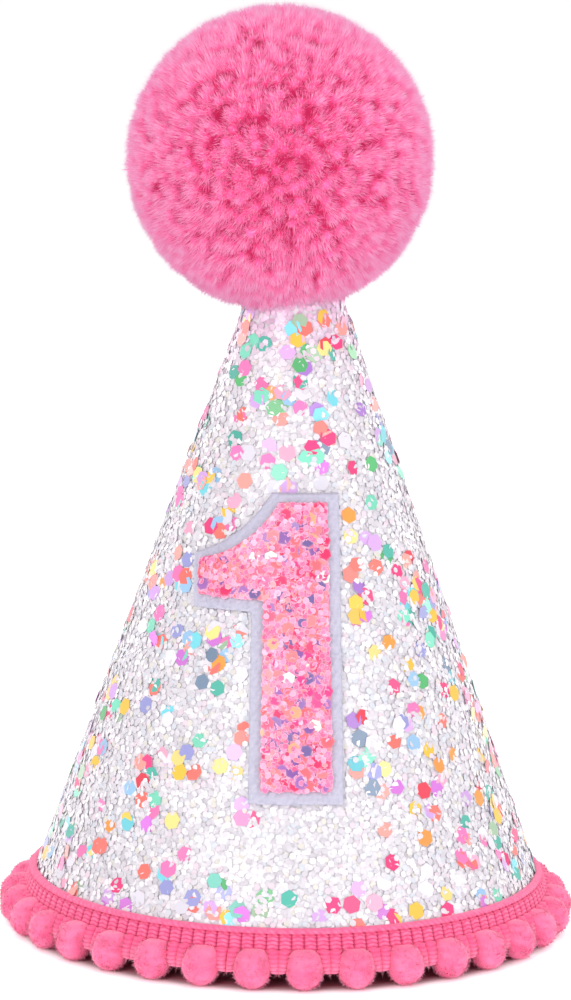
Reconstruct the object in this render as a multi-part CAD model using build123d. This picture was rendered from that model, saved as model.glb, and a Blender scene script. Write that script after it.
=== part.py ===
# First-birthday mini party hat: a rolled card cone in glitter cloth, a felt "1", a ball-fringe
# braid round the rim and a yarn pom-pom tied through the tip.
#
# Frame (mm): the hat stands on the balls of its fringe, so z = 0 is their lowest point. +Z runs
# up the axis of the cone, and the numeral is on the front, which faces -Y. The lap of the card,
# the seam of the cloth and the joint of the braid are at the back, +Y.
#
# Bodies: hat (card, cloth, lining, numeral, braid, balls), tie (the yarn strands through the tip
# hole, which twist about Z) and pompom (which leans on the tip, about X).

from build123d import *
from math import asin, cos, degrees, pi, radians, sin, tan
import os

# ---------------------------------------------------------------- driving dimensions (mm)

# Card cone. Radius and height are those of the card's outer face, up to its pointed apex.
rim_radius = 51.0
cone_height = 144.1
card_thickness = 0.8
lap_width = 10.0            # glued tab inside the back of the cone
tip_hole_radius = 1.6       # the cone is cut off where its inside is this wide

# Glitter cloth outside the card, felt lining inside it.
cover_thickness = 0.6
cover_seam_gap = 0.4
lining_thickness = 0.8
lining_rim_setback = 0.6    # bare card below the lining, inside the rim

# Numeral. Heights are above the card's rim; X is measured across the front.
numeral_lift = 26.5
felt_thickness = 2.0
face_thickness = 0.6
felt_height = 57.4
felt_stem_left = -7.6
felt_stem_right = 10.0
felt_stem_taper = 0.9       # each side of the stem is this much further out at its foot
felt_flag_left = -19.0
felt_flag_lower = 35.2
felt_flag_upper = 44.9
face_margin_foot = 2.4
face_margin_top = 1.4
face_margin_left = 2.3
face_margin_right = 2.1
face_margin_flag = 0.9

# Ball fringe: a braid round the rim, a ball on every pitch, two yarn loops in every gap.
tape_width = 4.6
tape_thickness = 1.2
tape_bead_radius = 0.8
tape_overhang = 0.4         # the braid's lower edge is this far below the card's rim
tape_joint_gap = 0.3
ball_count = 34
ball_radius = 3.65
ball_seat = 0.02            # how far a ball is pressed onto the braid's lower edge
ball_seat_angle = 27.5      # where on the ball that edge bears, from its top, degrees
ball_phase = 3.95           # first ball, to the right of the front, degrees
leg_clearance = 0.12
leg_top_radius = 1.10
leg_reach = 0.10            # the legs end this far below the height of the balls' centres

# Inlets for a chin strap, hidden behind the braid at the left and right.
slit_width = 6.5
slit_height = 1.2

# Pom-pom and its tie.
pompom_radius = 30.3
pompom_offset = -3.4        # the pom-pom sits a little to the left of the axis
pompom_rise = 10.2          # centre of the pom-pom above the cut tip
lean_limit = 6.0            # degrees either way
swivel_clearance = 0.45
mouth_flare = 0.5           # extra half angle of the socket, degrees
strand_radius = 0.9
strand_clearance = 0.35
pivot_rise = 1.8            # the bend in the strands above the cut tip
pivot_radius = 1.4          # where the strands bunch up in the band
pivot_clearance = 0.3
band_radius = 3.4
band_height = 4.6
band_foot_radius = 2.0
band_drop = 1.2             # bottom of the band below the pivot
washer_thickness = 1.5
washer_drop = 3.0           # top of the washer below the cut tip
knot_radius = 2.0
knot_gap = 0.3

# ---------------------------------------------------------------- sizes that follow

slope = rim_radius / cone_height
half_angle = degrees(asin(slope / (1 + slope * slope) ** 0.5))


def across(thickness):
    """Horizontal width of a layer of this thickness lying on the sloping wall."""
    return thickness / cos(radians(half_angle))


ball_bearing = ball_radius - ball_seat
tape_low = ball_radius + ball_bearing * cos(radians(ball_seat_angle))
rim_z = tape_low + tape_overhang
apex_z = rim_z + cone_height


def wall_radius(z, offset=0.0):
    """Radius at height z of the card's outer face, moved out by offset (in if negative)."""
    return (apex_z - z) * slope + across(offset)


card_inside = -card_thickness
lining_inside = card_inside - lining_thickness
cover_outside = cover_thickness
felt_outside = cover_outside + felt_thickness
face_outside = felt_outside + face_thickness
tape_outside = cover_outside + tape_thickness

tip_z = apex_z - (tip_hole_radius + across(card_thickness)) / slope
pivot_z = tip_z + pivot_rise
washer_high = tip_z - washer_drop
washer_low = washer_high - washer_thickness
knot_z = washer_low - knot_gap - knot_radius
tape_top = tape_low + tape_width * cos(radians(half_angle))
ring_radius = wall_radius(tape_low, tape_outside) + ball_bearing * sin(radians(ball_seat_angle))
ball_pitch_angle = 360.0 / ball_count

# ---------------------------------------------------------------- helpers


def turned(points, arc=360.0, start=0.0):
    """Solid of revolution about Z from (radius, height) points; start is measured from +X."""
    outline = Plane.XZ * make_face(Polyline(*points, close=True))
    return Rot(0, 0, start) * revolve(outline, Axis.Z, arc)


def wall_layer(inner, outer, low, high, arc=360.0, start=0.0):
    """Layer of the cone's wall between two offsets from the card's outer face."""
    corners = [
        (wall_radius(low, inner), low),
        (wall_radius(low, outer), low),
        (wall_radius(high, outer), high),
        (wall_radius(high, inner), high),
    ]
    return turned(corners, arc, start)


def at_azimuth(radius, angle, z):
    """Point on a circle about Z; angle is measured from the front towards +X."""
    turn = radians(angle)
    return Vector(radius * sin(turn), -radius * cos(turn), z)


def strap_slits(reach):
    """Two flat bars that cut the chin-strap inlets through the wall at -X and +X."""
    z = (tape_low + tape_top) / 2
    radius = wall_radius(z)
    bar = Box(reach, slit_width, slit_height)
    return [Pos(side * radius, 0, z) * bar for side in (-1, 1)]


def cut_all(solid, tools):
    """The solid with every tool taken away."""
    for tool in tools:
        solid = solid - tool
    return solid


# ---------------------------------------------------------------- cone, cloth and lining


def make_card_cone():
    """Rolled card with its lap tab glued inside, at the back."""
    shell = wall_layer(card_inside, 0, rim_z, tip_z)
    tab_low = rim_z + lining_rim_setback
    tab_high = washer_low - lining_rim_setback
    tab_arc = degrees(lap_width / rim_radius)
    tab = wall_layer(2 * card_inside, card_inside, tab_low, tab_high, tab_arc, 90 - tab_arc / 2)
    return cut_all(shell + tab, strap_slits(8 * card_thickness))


def make_cover():
    """Glitter cloth round the card, its two edges meeting in a narrow seam at the back."""
    seam = degrees(cover_seam_gap / rim_radius)
    cloth = wall_layer(0, cover_outside, rim_z, tip_z, 360 - seam, 90 + seam / 2)
    return cut_all(cloth, strap_slits(8 * card_thickness))


def make_lining():
    """Thin felt inside the card, which stops at each side of the lap tab."""
    low = rim_z + lining_rim_setback
    high = washer_low - lining_rim_setback
    tab_arc = degrees(lap_width / rim_radius)
    felt = wall_layer(lining_inside, card_inside, low, high, 360 - tab_arc, 90 + tab_arc / 2)
    return cut_all(felt, strap_slits(8 * card_thickness))


# ---------------------------------------------------------------- numeral


def numeral_outline(left_foot, right_foot, left, right, flag_left, low, top, flag_low, flag_high):
    """Block numeral 1: a stem and a flag whose upper edge sweeps up to the top of the stem."""
    shoulder = left + 0.22 * (right - left)
    bend = (left - 0.30 * (left - flag_left), flag_high + 0.36 * (top - flag_high))
    edges = [
        Line((left_foot, low), (right_foot, low)),
        Line((right_foot, low), (right, top)),
        Line((right, top), (shoulder, top)),
        ThreePointArc((shoulder, top), bend, (flag_left, flag_high)),
        Line((flag_left, flag_high), (flag_left, flag_low)),
        Line((flag_left, flag_low), (left, flag_low)),
        Line((left, flag_low), (left_foot, low)),
    ]
    return make_face(edges)


def on_the_wall(outline, inner, outer):
    """The part of a wall layer that lies in front of an outline drawn in X and Z."""
    low = rim_z + numeral_lift - felt_thickness
    high = rim_z + numeral_lift + felt_height + felt_thickness
    layer = wall_layer(inner, outer, low, high)
    bar = extrude(Plane.XZ * outline, amount=2 * rim_radius)
    return layer & bar


def make_number_backing():
    """White felt numeral glued on the cloth."""
    low = rim_z + numeral_lift
    outline = numeral_outline(
        left_foot=felt_stem_left,
        right_foot=felt_stem_right + felt_stem_taper,
        left=felt_stem_left,
        right=felt_stem_right - felt_stem_taper,
        flag_left=felt_flag_left,
        low=low,
        top=low + felt_height,
        flag_low=low + felt_flag_lower,
        flag_high=low + felt_flag_upper,
    )
    return on_the_wall(outline, cover_outside, felt_outside)


def make_number_face():
    """Smaller numeral of pink glitter sheet, glued on the felt."""
    low = rim_z + numeral_lift
    outline = numeral_outline(
        left_foot=felt_stem_left + face_margin_left,
        right_foot=felt_stem_right + felt_stem_taper - face_margin_right,
        left=felt_stem_left + face_margin_left,
        right=felt_stem_right - felt_stem_taper - face_margin_right,
        flag_left=felt_flag_left + face_margin_flag,
        low=low + face_margin_foot,
        top=low + felt_height - face_margin_top,
        flag_low=low + felt_flag_lower + face_margin_left,
        flag_high=low + felt_flag_upper - face_margin_flag / 2,
    )
    return on_the_wall(outline, felt_outside, face_outside)


# ---------------------------------------------------------------- ball fringe


def make_tape():
    """Braid round the rim with a rolled upper edge; its ends meet at the back."""
    gap = degrees(tape_joint_gap / rim_radius)
    band = wall_layer(cover_outside, tape_outside, tape_low, tape_top, 360 - gap, 90 + gap / 2)
    bead_radius = wall_radius(tape_top, cover_outside) + tape_bead_radius
    profile = Plane.XZ * Pos(bead_radius, tape_top - tape_bead_radius) * Circle(tape_bead_radius)
    bead = Rot(0, 0, 90 + gap / 2) * revolve(profile, Axis.Z, 360 - gap)
    over_cloth = wall_layer(-rim_radius / 2, cover_outside, 0, tape_top + tape_width)
    return band + (bead - over_cloth)


def ball_centre(index):
    """Centre of one ball; the balls touch the ground."""
    angle = ball_phase + index * ball_pitch_angle
    return at_azimuth(ring_radius, angle, ball_radius)


def make_ball(index):
    """One yarn ball, which the braid's lower edge just bears on."""
    return Pos(ball_centre(index)) * Sphere(ball_radius)


def make_leg(gap_index, side):
    """One of the two yarn loops in a gap, from the braid down to the height of the balls."""
    middle = ball_phase + (gap_index + 0.5) * ball_pitch_angle
    half_gap = pi * ring_radius / ball_count - ball_radius
    foot_radius = (half_gap - leg_clearance) / 2
    top_ring = wall_radius(tape_low, (cover_outside + tape_outside) / 2)
    foot_ring = ring_radius - foot_radius
    foot_z = ball_radius - leg_reach + foot_radius
    top = at_azimuth(top_ring, middle + side * degrees(leg_top_radius / top_ring), tape_low)
    foot = at_azimuth(foot_ring, middle + side * degrees(foot_radius / foot_ring), foot_z)
    run = top - foot
    loop = Plane(origin=foot, z_dir=run) * Cone(
        foot_radius, leg_top_radius, run.length, align=(Align.CENTER, Align.CENTER, Align.MIN)
    )
    loop = loop + Pos(foot) * Sphere(foot_radius)
    above = Pos(top.X, top.Y, tape_low + 2 * leg_top_radius)
    loop = loop - above * Box(8 * leg_top_radius, 8 * leg_top_radius, 4 * leg_top_radius)
    return cut_all(loop, [make_ball(gap_index), make_ball(gap_index + 1)])


def make_legs():
    """All the loops, two in every gap."""
    loops = [make_leg(index, side) for index in range(ball_count) for side in (-1, 1)]
    return Compound(children=loops)


# ---------------------------------------------------------------- pom-pom and tie

def band_outline():
    """Half section of the binding round the middle of the yarn, with its pointed-in foot."""
    low = pivot_z - band_drop
    return [
        (0, low),
        (band_foot_radius, low),
        (band_radius, low + band_height / 3),
        (band_radius, low + band_height),
        (0, low + band_height),
    ]


def make_tie_band():
    """Binding of the pom-pom, hollow where the strands bunch up and bend."""
    bend_room = Pos(0, 0, pivot_z) * Sphere(pivot_radius + pivot_clearance)
    return turned(band_outline()) - bend_room


def make_tie_strands():
    """Twisted yarn ends: down from the bend, through the tip hole and the washer."""
    run = Cylinder(
        strand_radius, pivot_z - knot_z, align=(Align.CENTER, Align.CENTER, Align.MIN)
    )
    bunch = Pos(0, 0, pivot_z) * Sphere(pivot_radius)
    knot = Pos(0, 0, knot_z) * Sphere(knot_radius)
    return Pos(0, 0, knot_z) * run + bunch - knot


def make_tie_knot():
    """Overhand knot below the washer, inside the cone."""
    return Pos(0, 0, knot_z) * Sphere(knot_radius)


def make_washer():
    """Felt washer wedged in the tip, which the knot pulls against."""
    hole = strand_radius + strand_clearance
    return turned([
        (hole, washer_low),
        (wall_radius(washer_low, card_inside), washer_low),
        (wall_radius(washer_high, card_inside), washer_high),
        (hole, washer_high),
    ])


def socket_radius(z):
    """Radius of the pom-pom's socket: the cone's wall, leant to the limit, plus the clearance."""
    lean = radians(lean_limit)
    apex_rise = apex_z + across(cover_outside) / slope - pivot_z
    leant = tan(radians(half_angle + lean_limit + mouth_flare))
    tip_reach = wall_radius(tip_z, cover_outside) * cos(lean) + pivot_rise * sin(lean)
    wall_reach = (apex_rise * cos(lean) + pivot_z - tip_z) * leant - apex_rise * sin(lean)
    return max(tip_reach, wall_reach) + across(swivel_clearance) + (tip_z - z) * leant


def make_pompom():
    """Yarn ball, hollow where the tip of the cone goes in and where its binding is."""
    centre_z = tip_z + pompom_rise
    yarn = Pos(pompom_offset, 0, centre_z) * Sphere(pompom_radius)
    ceiling = pivot_z - band_drop
    low = centre_z - 2 * pompom_radius
    mouth = (socket_radius(low), low)
    socket = turned([(0, low), mouth, (socket_radius(ceiling), ceiling), (0, ceiling)])
    return yarn - socket - turned(band_outline())


# ---------------------------------------------------------------- build

parts = {
    "card_cone": make_card_cone(),
    "glitter_cover": make_cover(),
    "felt_lining": make_lining(),
    "number_backing": make_number_backing(),
    "number_face": make_number_face(),
    "trim_tape": make_tape(),
    "trim_legs": make_legs(),
    "pompom": make_pompom(),
    "tie_band": make_tie_band(),
    "tie_strands": make_tie_strands(),
    "tie_knot": make_tie_knot(),
    "anchor_washer": make_washer(),
}
for index in range(ball_count):
    parts[f"trim_ball_{index + 1:02d}"] = make_ball(index)

os.makedirs("parts", exist_ok=True)
for name, shape in parts.items():
    export_step(shape, f"parts/{name}.step")

print(f"half angle {half_angle:.2f}, rim z {rim_z:.2f}, tip z {tip_z:.2f}, pivot z {pivot_z:.2f}")
print(f"ball ring radius {ring_radius:.2f}, overall height {tip_z + pompom_rise + pompom_radius:.2f}")
print(f"knot z {knot_z:.2f}, washer z {washer_low:.2f} to {washer_high:.2f}")
print(f"{len(parts)} nodes written")
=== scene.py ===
# %% [markdown]
# # A first-birthday mini party hat
# This file finishes a small hat in Blender: a rolled cone covered in chunky glitter, a felt
# numeral on the front, a ball-fringe braid round the rim and a yarn pom-pom on the tip.
# The CAD model gives every size and every joint, so we load it first and build around it.
# The finished look may not outgrow it by much.

# %% Load the frame
from math import atan, cos, pi, radians, sin, sqrt

import bmesh
import bpy
import numpy as np
from mathutils import Matrix, Vector


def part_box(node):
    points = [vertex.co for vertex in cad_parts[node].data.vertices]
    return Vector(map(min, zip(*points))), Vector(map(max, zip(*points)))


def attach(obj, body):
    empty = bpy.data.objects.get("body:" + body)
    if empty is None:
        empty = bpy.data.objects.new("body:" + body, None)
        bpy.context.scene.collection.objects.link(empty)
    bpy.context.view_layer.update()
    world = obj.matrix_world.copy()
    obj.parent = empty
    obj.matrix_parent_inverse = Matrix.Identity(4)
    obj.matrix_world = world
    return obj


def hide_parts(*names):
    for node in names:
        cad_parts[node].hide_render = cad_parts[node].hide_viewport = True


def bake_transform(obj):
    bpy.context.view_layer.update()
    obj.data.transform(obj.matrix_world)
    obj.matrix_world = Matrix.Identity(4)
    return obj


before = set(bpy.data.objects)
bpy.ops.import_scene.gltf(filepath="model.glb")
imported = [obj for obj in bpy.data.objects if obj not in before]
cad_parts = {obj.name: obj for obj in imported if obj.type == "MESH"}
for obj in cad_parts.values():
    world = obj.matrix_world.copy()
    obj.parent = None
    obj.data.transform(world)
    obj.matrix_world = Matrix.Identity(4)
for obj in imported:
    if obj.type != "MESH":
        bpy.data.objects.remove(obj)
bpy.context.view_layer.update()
MM = 0.001
BALLS = sorted(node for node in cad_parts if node.startswith("trim_ball_"))
print("frame loaded:", len(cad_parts), "nodes,", len(BALLS), "fringe balls")

# %% [markdown]
# ## The cone's own measurements
# Nearly every piece lies on the cone's wall, so one small function turns a height and a
# distance from the card into a radius. The card's box gives the rim and the cut tip, and
# the outside radius at the tip fixes the slope. A second function wraps a point on the wall:
# its angle is counted from the front, which faces -Y, towards +X.

# %% Sizes read from the frame
CARD_LOW, CARD_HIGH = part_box("card_cone")
RIM_Z, TIP_Z, RIM_RADIUS = CARD_LOW[2], CARD_HIGH[2], CARD_HIGH[0]
TIP_RADIUS = 2.449 * MM
SLOPE = (RIM_RADIUS - TIP_RADIUS) / (TIP_Z - RIM_Z)
SLANT = sqrt(1 + SLOPE * SLOPE)
CARD_THICKNESS = 0.8 * MM
COVER_THICKNESS = 0.6 * MM
LINING_THICKNESS = 0.8 * MM
FELT_THICKNESS = 2.0 * MM
FACE_THICKNESS = 0.6 * MM


def wall(z, offset=0.0):
    """Radius at height z: the rim's radius less the slope times the rise, plus an offset."""
    return RIM_RADIUS - (z - RIM_Z) * SLOPE + offset * SLANT


def on_wall(angle, z, offset=0.0):
    """Points on the wall: x = radius sin(angle), y = -radius cos(angle), z = z."""
    angle, z, offset = np.broadcast_arrays(angle, z, offset)
    radius = wall(z, offset)
    return np.stack([radius * np.sin(angle), -radius * np.cos(angle), z], -1)


def wall_frame(angle):
    """Three directions at each angle: round the wall, up the wall, and straight out of it."""
    level = np.zeros_like(angle)
    across = np.stack([np.cos(angle), np.sin(angle), level], -1)
    lean, rise = SLOPE / SLANT, 1 / SLANT
    up = np.stack([-lean * np.sin(angle), lean * np.cos(angle), level + rise], -1)
    out = np.stack([rise * np.sin(angle), -rise * np.cos(angle), level + lean], -1)
    return across, up, out


# %% [markdown]
# ## Camera, floor and light
# The camera stands a long way off with a long lens, so that nothing is drawn out of shape by
# being near. It looks slightly down, which opens the rim into a shallow curve. The roll of
# under one degree is the small lean of the hat as it was set down.

# %% Camera
CAMERA_DISTANCE = 832.5 * MM
CAMERA_LIFT = radians(9.34)
CAMERA_ROLL = radians(0.90)
CAMERA_LENS, SENSOR_HEIGHT = 99.372, 24.0
AIM = Vector((-1.29 * MM, 0.0, 86.06 * MM))

camera_data = bpy.data.cameras.new("camera")
camera_data.sensor_fit = "VERTICAL"
camera_data.sensor_height = SENSOR_HEIGHT
camera_data.lens = CAMERA_LENS
camera_data.clip_start = 0.01
camera = bpy.data.objects.new("camera", camera_data)
bpy.context.scene.collection.objects.link(camera)
view_line = Vector((0.0, cos(CAMERA_LIFT), -sin(CAMERA_LIFT)))
level_right = Vector((1.0, 0.0, 0.0))
level_up = level_right.cross(view_line)
right = level_right * cos(CAMERA_ROLL) + level_up * sin(CAMERA_ROLL)
up = level_up * cos(CAMERA_ROLL) - level_right * sin(CAMERA_ROLL)
turn = Matrix((right, up, -view_line)).transposed().to_4x4()
camera.matrix_world = Matrix.Translation(AIM - view_line * CAMERA_DISTANCE) @ turn
bpy.context.scene.camera = camera
print("camera", round(camera_data.lens, 1), "mm lens")

# %% [markdown]
# The floor is a white sheet so wide that it fills the view behind the hat from every side. A
# little glow of its own keeps it white, so the hat's contact shadow stays soft and pale. The
# glow fades out in a circle under the hat, a painted shadow where a real sheet of paper gets
# no light, and the paper's colour turns a dark pink there: painted shade and painted pink
# light, as if light had come through the pink yarn.


# %% Helpers for colour and mesh
def paint(red, green, blue):
    """Linear colour from the usual 0 to 255 values: (v / 255) to the power 2.2, nearly."""
    share = np.array([red, green, blue]) / 255.0
    linear = np.where(share <= 0.04045, share / 12.92, ((share + 0.055) / 1.055) ** 2.4)
    return np.append(linear, 1.0)


WHITE = (1, 1, 1, 1)


def palette(*tones):
    """One linear colour in each row."""
    return np.array([paint(*tone) for tone in tones])


def set_inputs(node, settings):
    """Set plain values on a node's sockets, by their names."""
    for socket, value in settings.items():
        node.inputs[socket].default_value = value


def new_material(name, settings):
    """A material, its nodes and links, and its main shader with plain inputs set by name."""
    material = bpy.data.materials.new(name)
    material.use_nodes = True
    nodes, links = material.node_tree.nodes, material.node_tree.links
    shader = nodes["Principled BSDF"]
    set_inputs(shader, settings)
    return material, nodes, links, shader


def use_mesh_shade(nodes, links, shader):
    """Take the base colour from the mesh's own colours."""
    shade = nodes.new("ShaderNodeVertexColor")
    shade.layer_name = "shade"
    links.new(shade.outputs["Color"], shader.inputs["Base Color"])


def add_relief(nodes, links, shader, grain, detail, strength, depth):
    """Bump from a fine noise in Object coordinates; gives the noise back for other uses."""
    spot = nodes.new("ShaderNodeTexCoord")
    noise = nodes.new("ShaderNodeTexNoise")
    set_inputs(noise, {"Scale": 1 / grain, "Detail": detail})
    relief = nodes.new("ShaderNodeBump")
    set_inputs(relief, {"Strength": strength, "Distance": depth})
    links.new(spot.outputs["Object"], noise.inputs["Vector"])
    links.new(noise.outputs["Fac"], relief.inputs["Height"])
    links.new(relief.outputs["Normal"], shader.inputs["Normal"])
    return noise


def new_object(name, points, faces, material, shade=None, chart=None, smooth=True):
    """One mesh object from whole arrays.

    points is (n, 3); faces is a list of arrays, one for each number of corners. shade is a
    colour for each point, chart a place on the flat map for each point or for each corner.
    """
    points = np.asarray(points, dtype=np.float32).reshape(-1, 3)
    corners = np.concatenate([face.ravel() for face in faces]).astype(np.int32)
    sizes = np.concatenate([np.full(len(face), face.shape[1]) for face in faces])
    starts = np.concatenate([[0], np.cumsum(sizes)[:-1]]).astype(np.int32)
    mesh = bpy.data.meshes.new(name)
    mesh.vertices.add(len(points))
    mesh.vertices.foreach_set("co", points.ravel())
    mesh.loops.add(len(corners))
    mesh.loops.foreach_set("vertex_index", corners)
    mesh.polygons.add(len(sizes))
    mesh.polygons.foreach_set("loop_start", starts)
    mesh.polygons.foreach_set("use_smooth", np.full(len(sizes), smooth))
    mesh.update(calc_edges=True)
    if shade is not None:
        layer = mesh.color_attributes.new("shade", "FLOAT_COLOR", "POINT")
        layer.data.foreach_set("color", np.asarray(shade, dtype=np.float32).ravel())
    if chart is not None:
        if len(chart) == len(points):
            chart = np.asarray(chart)[corners]
        layer = mesh.uv_layers.new(name="OFBake")
        layer.data.foreach_set("uv", np.asarray(chart, dtype=np.float32).ravel())
    mesh.validate()
    mesh.materials.append(material)
    piece = bpy.data.objects.new(name, mesh)
    bpy.context.scene.collection.objects.link(piece)
    return piece


def dress(piece, nodes):
    """Let a piece stand for its CAD nodes, which are hidden, and print its size."""
    if nodes:
        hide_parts(*nodes)
    piece.data.calc_loop_triangles()
    print("made", piece.name, "with", len(piece.data.loop_triangles), "triangles")


def place(piece, body, slot, *nodes):
    """Let a piece ride on a body, with its CAD nodes; the slot is not used."""
    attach(piece, body)
    dress(piece, nodes)


# %% Floor and lights
FLOOR_HALF = 9.0
GLOW_FROM, GLOW_TO, GLOW = 54 * MM, 58 * MM, 0.435
PINK_FROM, PINK_TO = 52 * MM, 56 * MM
# The dark pink under the hat is painted shade and painted pink light from the yarn.
PAINTED_PINK_SHADE, PAPER_WHITE = (0.62, 0.2, 0.26), (0.93, 0.93, 0.93)


def floor_paper():
    """White paper with a faint glow, so that it stays white under the soft lights."""
    settings = {"Roughness": 0.9, "Specular IOR Level": 0.1, "Emission Color": WHITE}
    material, nodes, links, shader = new_material("white_paper", settings)
    spot = nodes.new("ShaderNodeTexCoord")
    reach = nodes.new("ShaderNodeVectorMath")
    reach.operation = "LENGTH"
    links.new(spot.outputs["Object"], reach.inputs[0])
    # The glow is taken away in a circle under the hat: a painted shadow.
    glow = nodes.new("ShaderNodeMapRange")
    set_inputs(glow, {"From Min": GLOW_FROM, "From Max": GLOW_TO, "To Max": GLOW})
    links.new(reach.outputs["Value"], glow.inputs["Value"])
    links.new(glow.outputs["Result"], shader.inputs["Emission Strength"])
    # Under the hat the paper's colour turns a dark pink: painted shade and painted pink light.
    tint = nodes.new("ShaderNodeMapRange")
    tint.data_type = "FLOAT_VECTOR"
    # The vector sockets of this node are the value, from low, from high, to low and to high.
    value, *ends = tint.inputs[6:11]
    for socket, level in zip(ends, ([PINK_FROM] * 3, [PINK_TO] * 3, PAINTED_PINK_SHADE, PAPER_WHITE)):
        socket.default_value = level
    links.new(reach.outputs["Value"], value)
    links.new(tint.outputs["Vector"], shader.inputs["Base Color"])
    return material


def soft_light(name, place_at, size, watts, tint):
    """A square panel of light that faces the middle of the hat."""
    data = bpy.data.lights.new(name, "AREA")
    data.shape = "SQUARE"
    data.size = size
    data.energy = watts
    data.color = tint
    lamp = bpy.data.objects.new(name, data)
    lamp.location = place_at
    towards = AIM - Vector(place_at)
    lamp.rotation_euler = towards.to_track_quat("-Z", "Y").to_euler()
    bpy.context.scene.collection.objects.link(lamp)


square = np.array([[-1, -1, 0], [1, -1, 0], [1, 1, 0], [-1, 1, 0]]) * FLOOR_HALF
floor = new_object("paper_floor", square, [np.array([[0, 1, 2, 3]])], floor_paper())
soft_light("key_panel", (-0.38, -0.85, 0.52), 0.45, 3.4, (1.0, 0.985, 0.98))
soft_light("fill_panel", (0.62, -0.75, 0.28), 0.6, 2.55, (0.98, 0.98, 1.0))
soft_light("top_panel", (0.05, 0.15, 0.95), 0.6, 1.8, (1.0, 1.0, 1.0))
soft_light("back_left_panel", (-0.62, 0.62, 0.45), 0.5, 2.6, (1.0, 0.99, 1.0))
soft_light("back_right_panel", (0.62, 0.62, 0.45), 0.5, 2.6, (1.0, 0.99, 1.0))
world = bpy.data.worlds.new("white_room")
world.use_nodes = True
set_inputs(world.node_tree.nodes["Background"], {"Color": (1.0, 0.985, 1.0, 1), "Strength": 0.62})
bpy.context.scene.world = world
bpy.context.scene.view_settings.view_transform = "Standard"
print("studio ready")

# %% [markdown]
# ## Shared tools for surfaces
# Most pieces are tubes or rounded bodies: rows of points, each row a closed ring. One
# function joins the rows with quads and closes the ends with a point each, or joins the last
# row to the first. It then measures the volume that the faces enclose, and turns all of them
# round if the volume comes out negative, so faces always point outwards.


# %% Rings of points to closed surfaces
def ring_surface(rings, ends="poles"):
    """Points and faces of a surface whose rows are closed rings, given as (rows, columns, 3).

    ends "poles" closes each end with a fan to the ring's middle, "joined" makes a closed loop
    of rows. The chart runs with the columns and the rows.
    """
    rows, columns = rings.shape[:2]
    points = rings.reshape(-1, 3)
    last = rows if ends == "joined" else rows - 1
    row, column = np.meshgrid(np.arange(last), np.arange(columns), indexing="ij")
    row, column = row.ravel(), column.ravel()
    above, beside = (row + 1) % rows, (column + 1) % columns
    quads = np.stack(
        [
            row * columns + column,
            row * columns + beside,
            above * columns + beside,
            above * columns + column,
        ],
        -1,
    )
    u = np.stack([column, column + 1, column + 1, column], -1) / columns
    v = np.stack([row, row, row + 1, row + 1], -1) / last
    faces, charts = [quads], [np.stack([u, v], -1)]
    if ends == "poles":
        middles = np.stack([rings[0].mean(0), rings[-1].mean(0)])
        first = len(points)
        points = np.concatenate([points, middles])
        spot = np.arange(columns)
        beside = (spot + 1) % columns
        base = (rows - 1) * columns
        low_fan = np.stack([beside, spot, np.full(columns, first)], -1)
        high_fan = np.stack([base + spot, base + beside, np.full(columns, first + 1)], -1)
        faces.append(np.concatenate([low_fan, high_fan]))
        low_u = np.stack([spot + 1, spot, spot + 0.5], -1) / columns
        high_u = np.stack([spot, spot + 1, spot + 0.5], -1) / columns
        low_v = np.tile([0.004, 0.004, 0.0], (columns, 1))
        fans = np.stack([np.concatenate([low_u, high_u]), np.concatenate([low_v, 1 - low_v])], -1)
        charts.append(fans)
    if enclosed_volume(points, faces) < 0:
        faces = [face[:, ::-1] for face in faces]
        charts = [chart[:, ::-1] for chart in charts]
    return points, faces, np.concatenate([chart.reshape(-1, 2) for chart in charts])


def unit_length(vectors):
    """Each row scaled to a length of one."""
    return vectors / np.linalg.norm(vectors, axis=1, keepdims=True)


def enclosed_volume(points, faces):
    """A sixth of the sum of a . (b x c) over the triangles a, b, c of all the faces."""
    volume = 0.0
    for face in faces:
        corner = points[face]
        for step in range(1, face.shape[1] - 1):
            cross = np.cross(corner[:, step], corner[:, step + 1])
            volume += np.einsum("ij,ij->", corner[:, 0], cross) / 6
    return volume


def tube(path, radius, columns, ends="poles"):
    """Rings round a path: each is perpendicular to the path's direction at that point.

    radius has one value for each point, or one for each point and column. Any side direction
    works for the ring, as long as it turns slowly, so one fixed direction is made square to
    the path.
    """
    if ends == "joined":
        along = np.roll(path, -1, 0) - np.roll(path, 1, 0)
    else:
        along = np.gradient(path, axis=0)
    along = unit_length(along)
    helper = np.array([0.31, 0.17, 0.93]) if abs(along[:, 2]).mean() < 0.7 else np.array([1.0, 0.2, 0])
    side = unit_length(helper - (along @ helper)[:, None] * along)
    other = np.cross(along, side)
    angle = np.linspace(0, 2 * pi, columns, endpoint=False)[None]
    radius = np.broadcast_to(np.reshape(radius, (len(path), -1)), (len(path), columns))
    offset = np.cos(angle)[..., None] * side[:, None] + np.sin(angle)[..., None] * other[:, None]
    return path[:, None] + radius[..., None] * offset


def ripple(points, size, seed, waves=20):
    """Smooth random values near -1 to 1: the mean of cosine waves in random directions."""
    draw = np.random.default_rng(seed)
    direction = unit_length(draw.normal(size=(waves, 3)))
    number = 2 * pi / size * draw.uniform(0.7, 1.4, waves)
    phase = draw.uniform(0, 2 * pi, waves)
    flat = np.reshape(points, (-1, 3)) @ (direction * number[:, None]).T + phase
    value = np.cos(flat).sum(1) * sqrt(2 / waves) / 2
    return value.reshape(np.shape(points)[:-1])


def mix(low, high, share):
    """Colour between two colours; share 0 gives the first and 1 the second."""
    share = np.clip(np.asarray(share), 0, 1)[..., None]
    return low * (1 - share) + high * share


print("surface tools ready")

# %% [markdown]
# ## Fibres
# Felt and yarn are made of fibres, and a smooth surface never looks soft. We add short hairs
# as real geometry. Each hair is the cheapest closed solid there is, a slim pyramid with four
# faces, so that many thousands stay affordable. The colour runs from its root to its tip.


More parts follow.
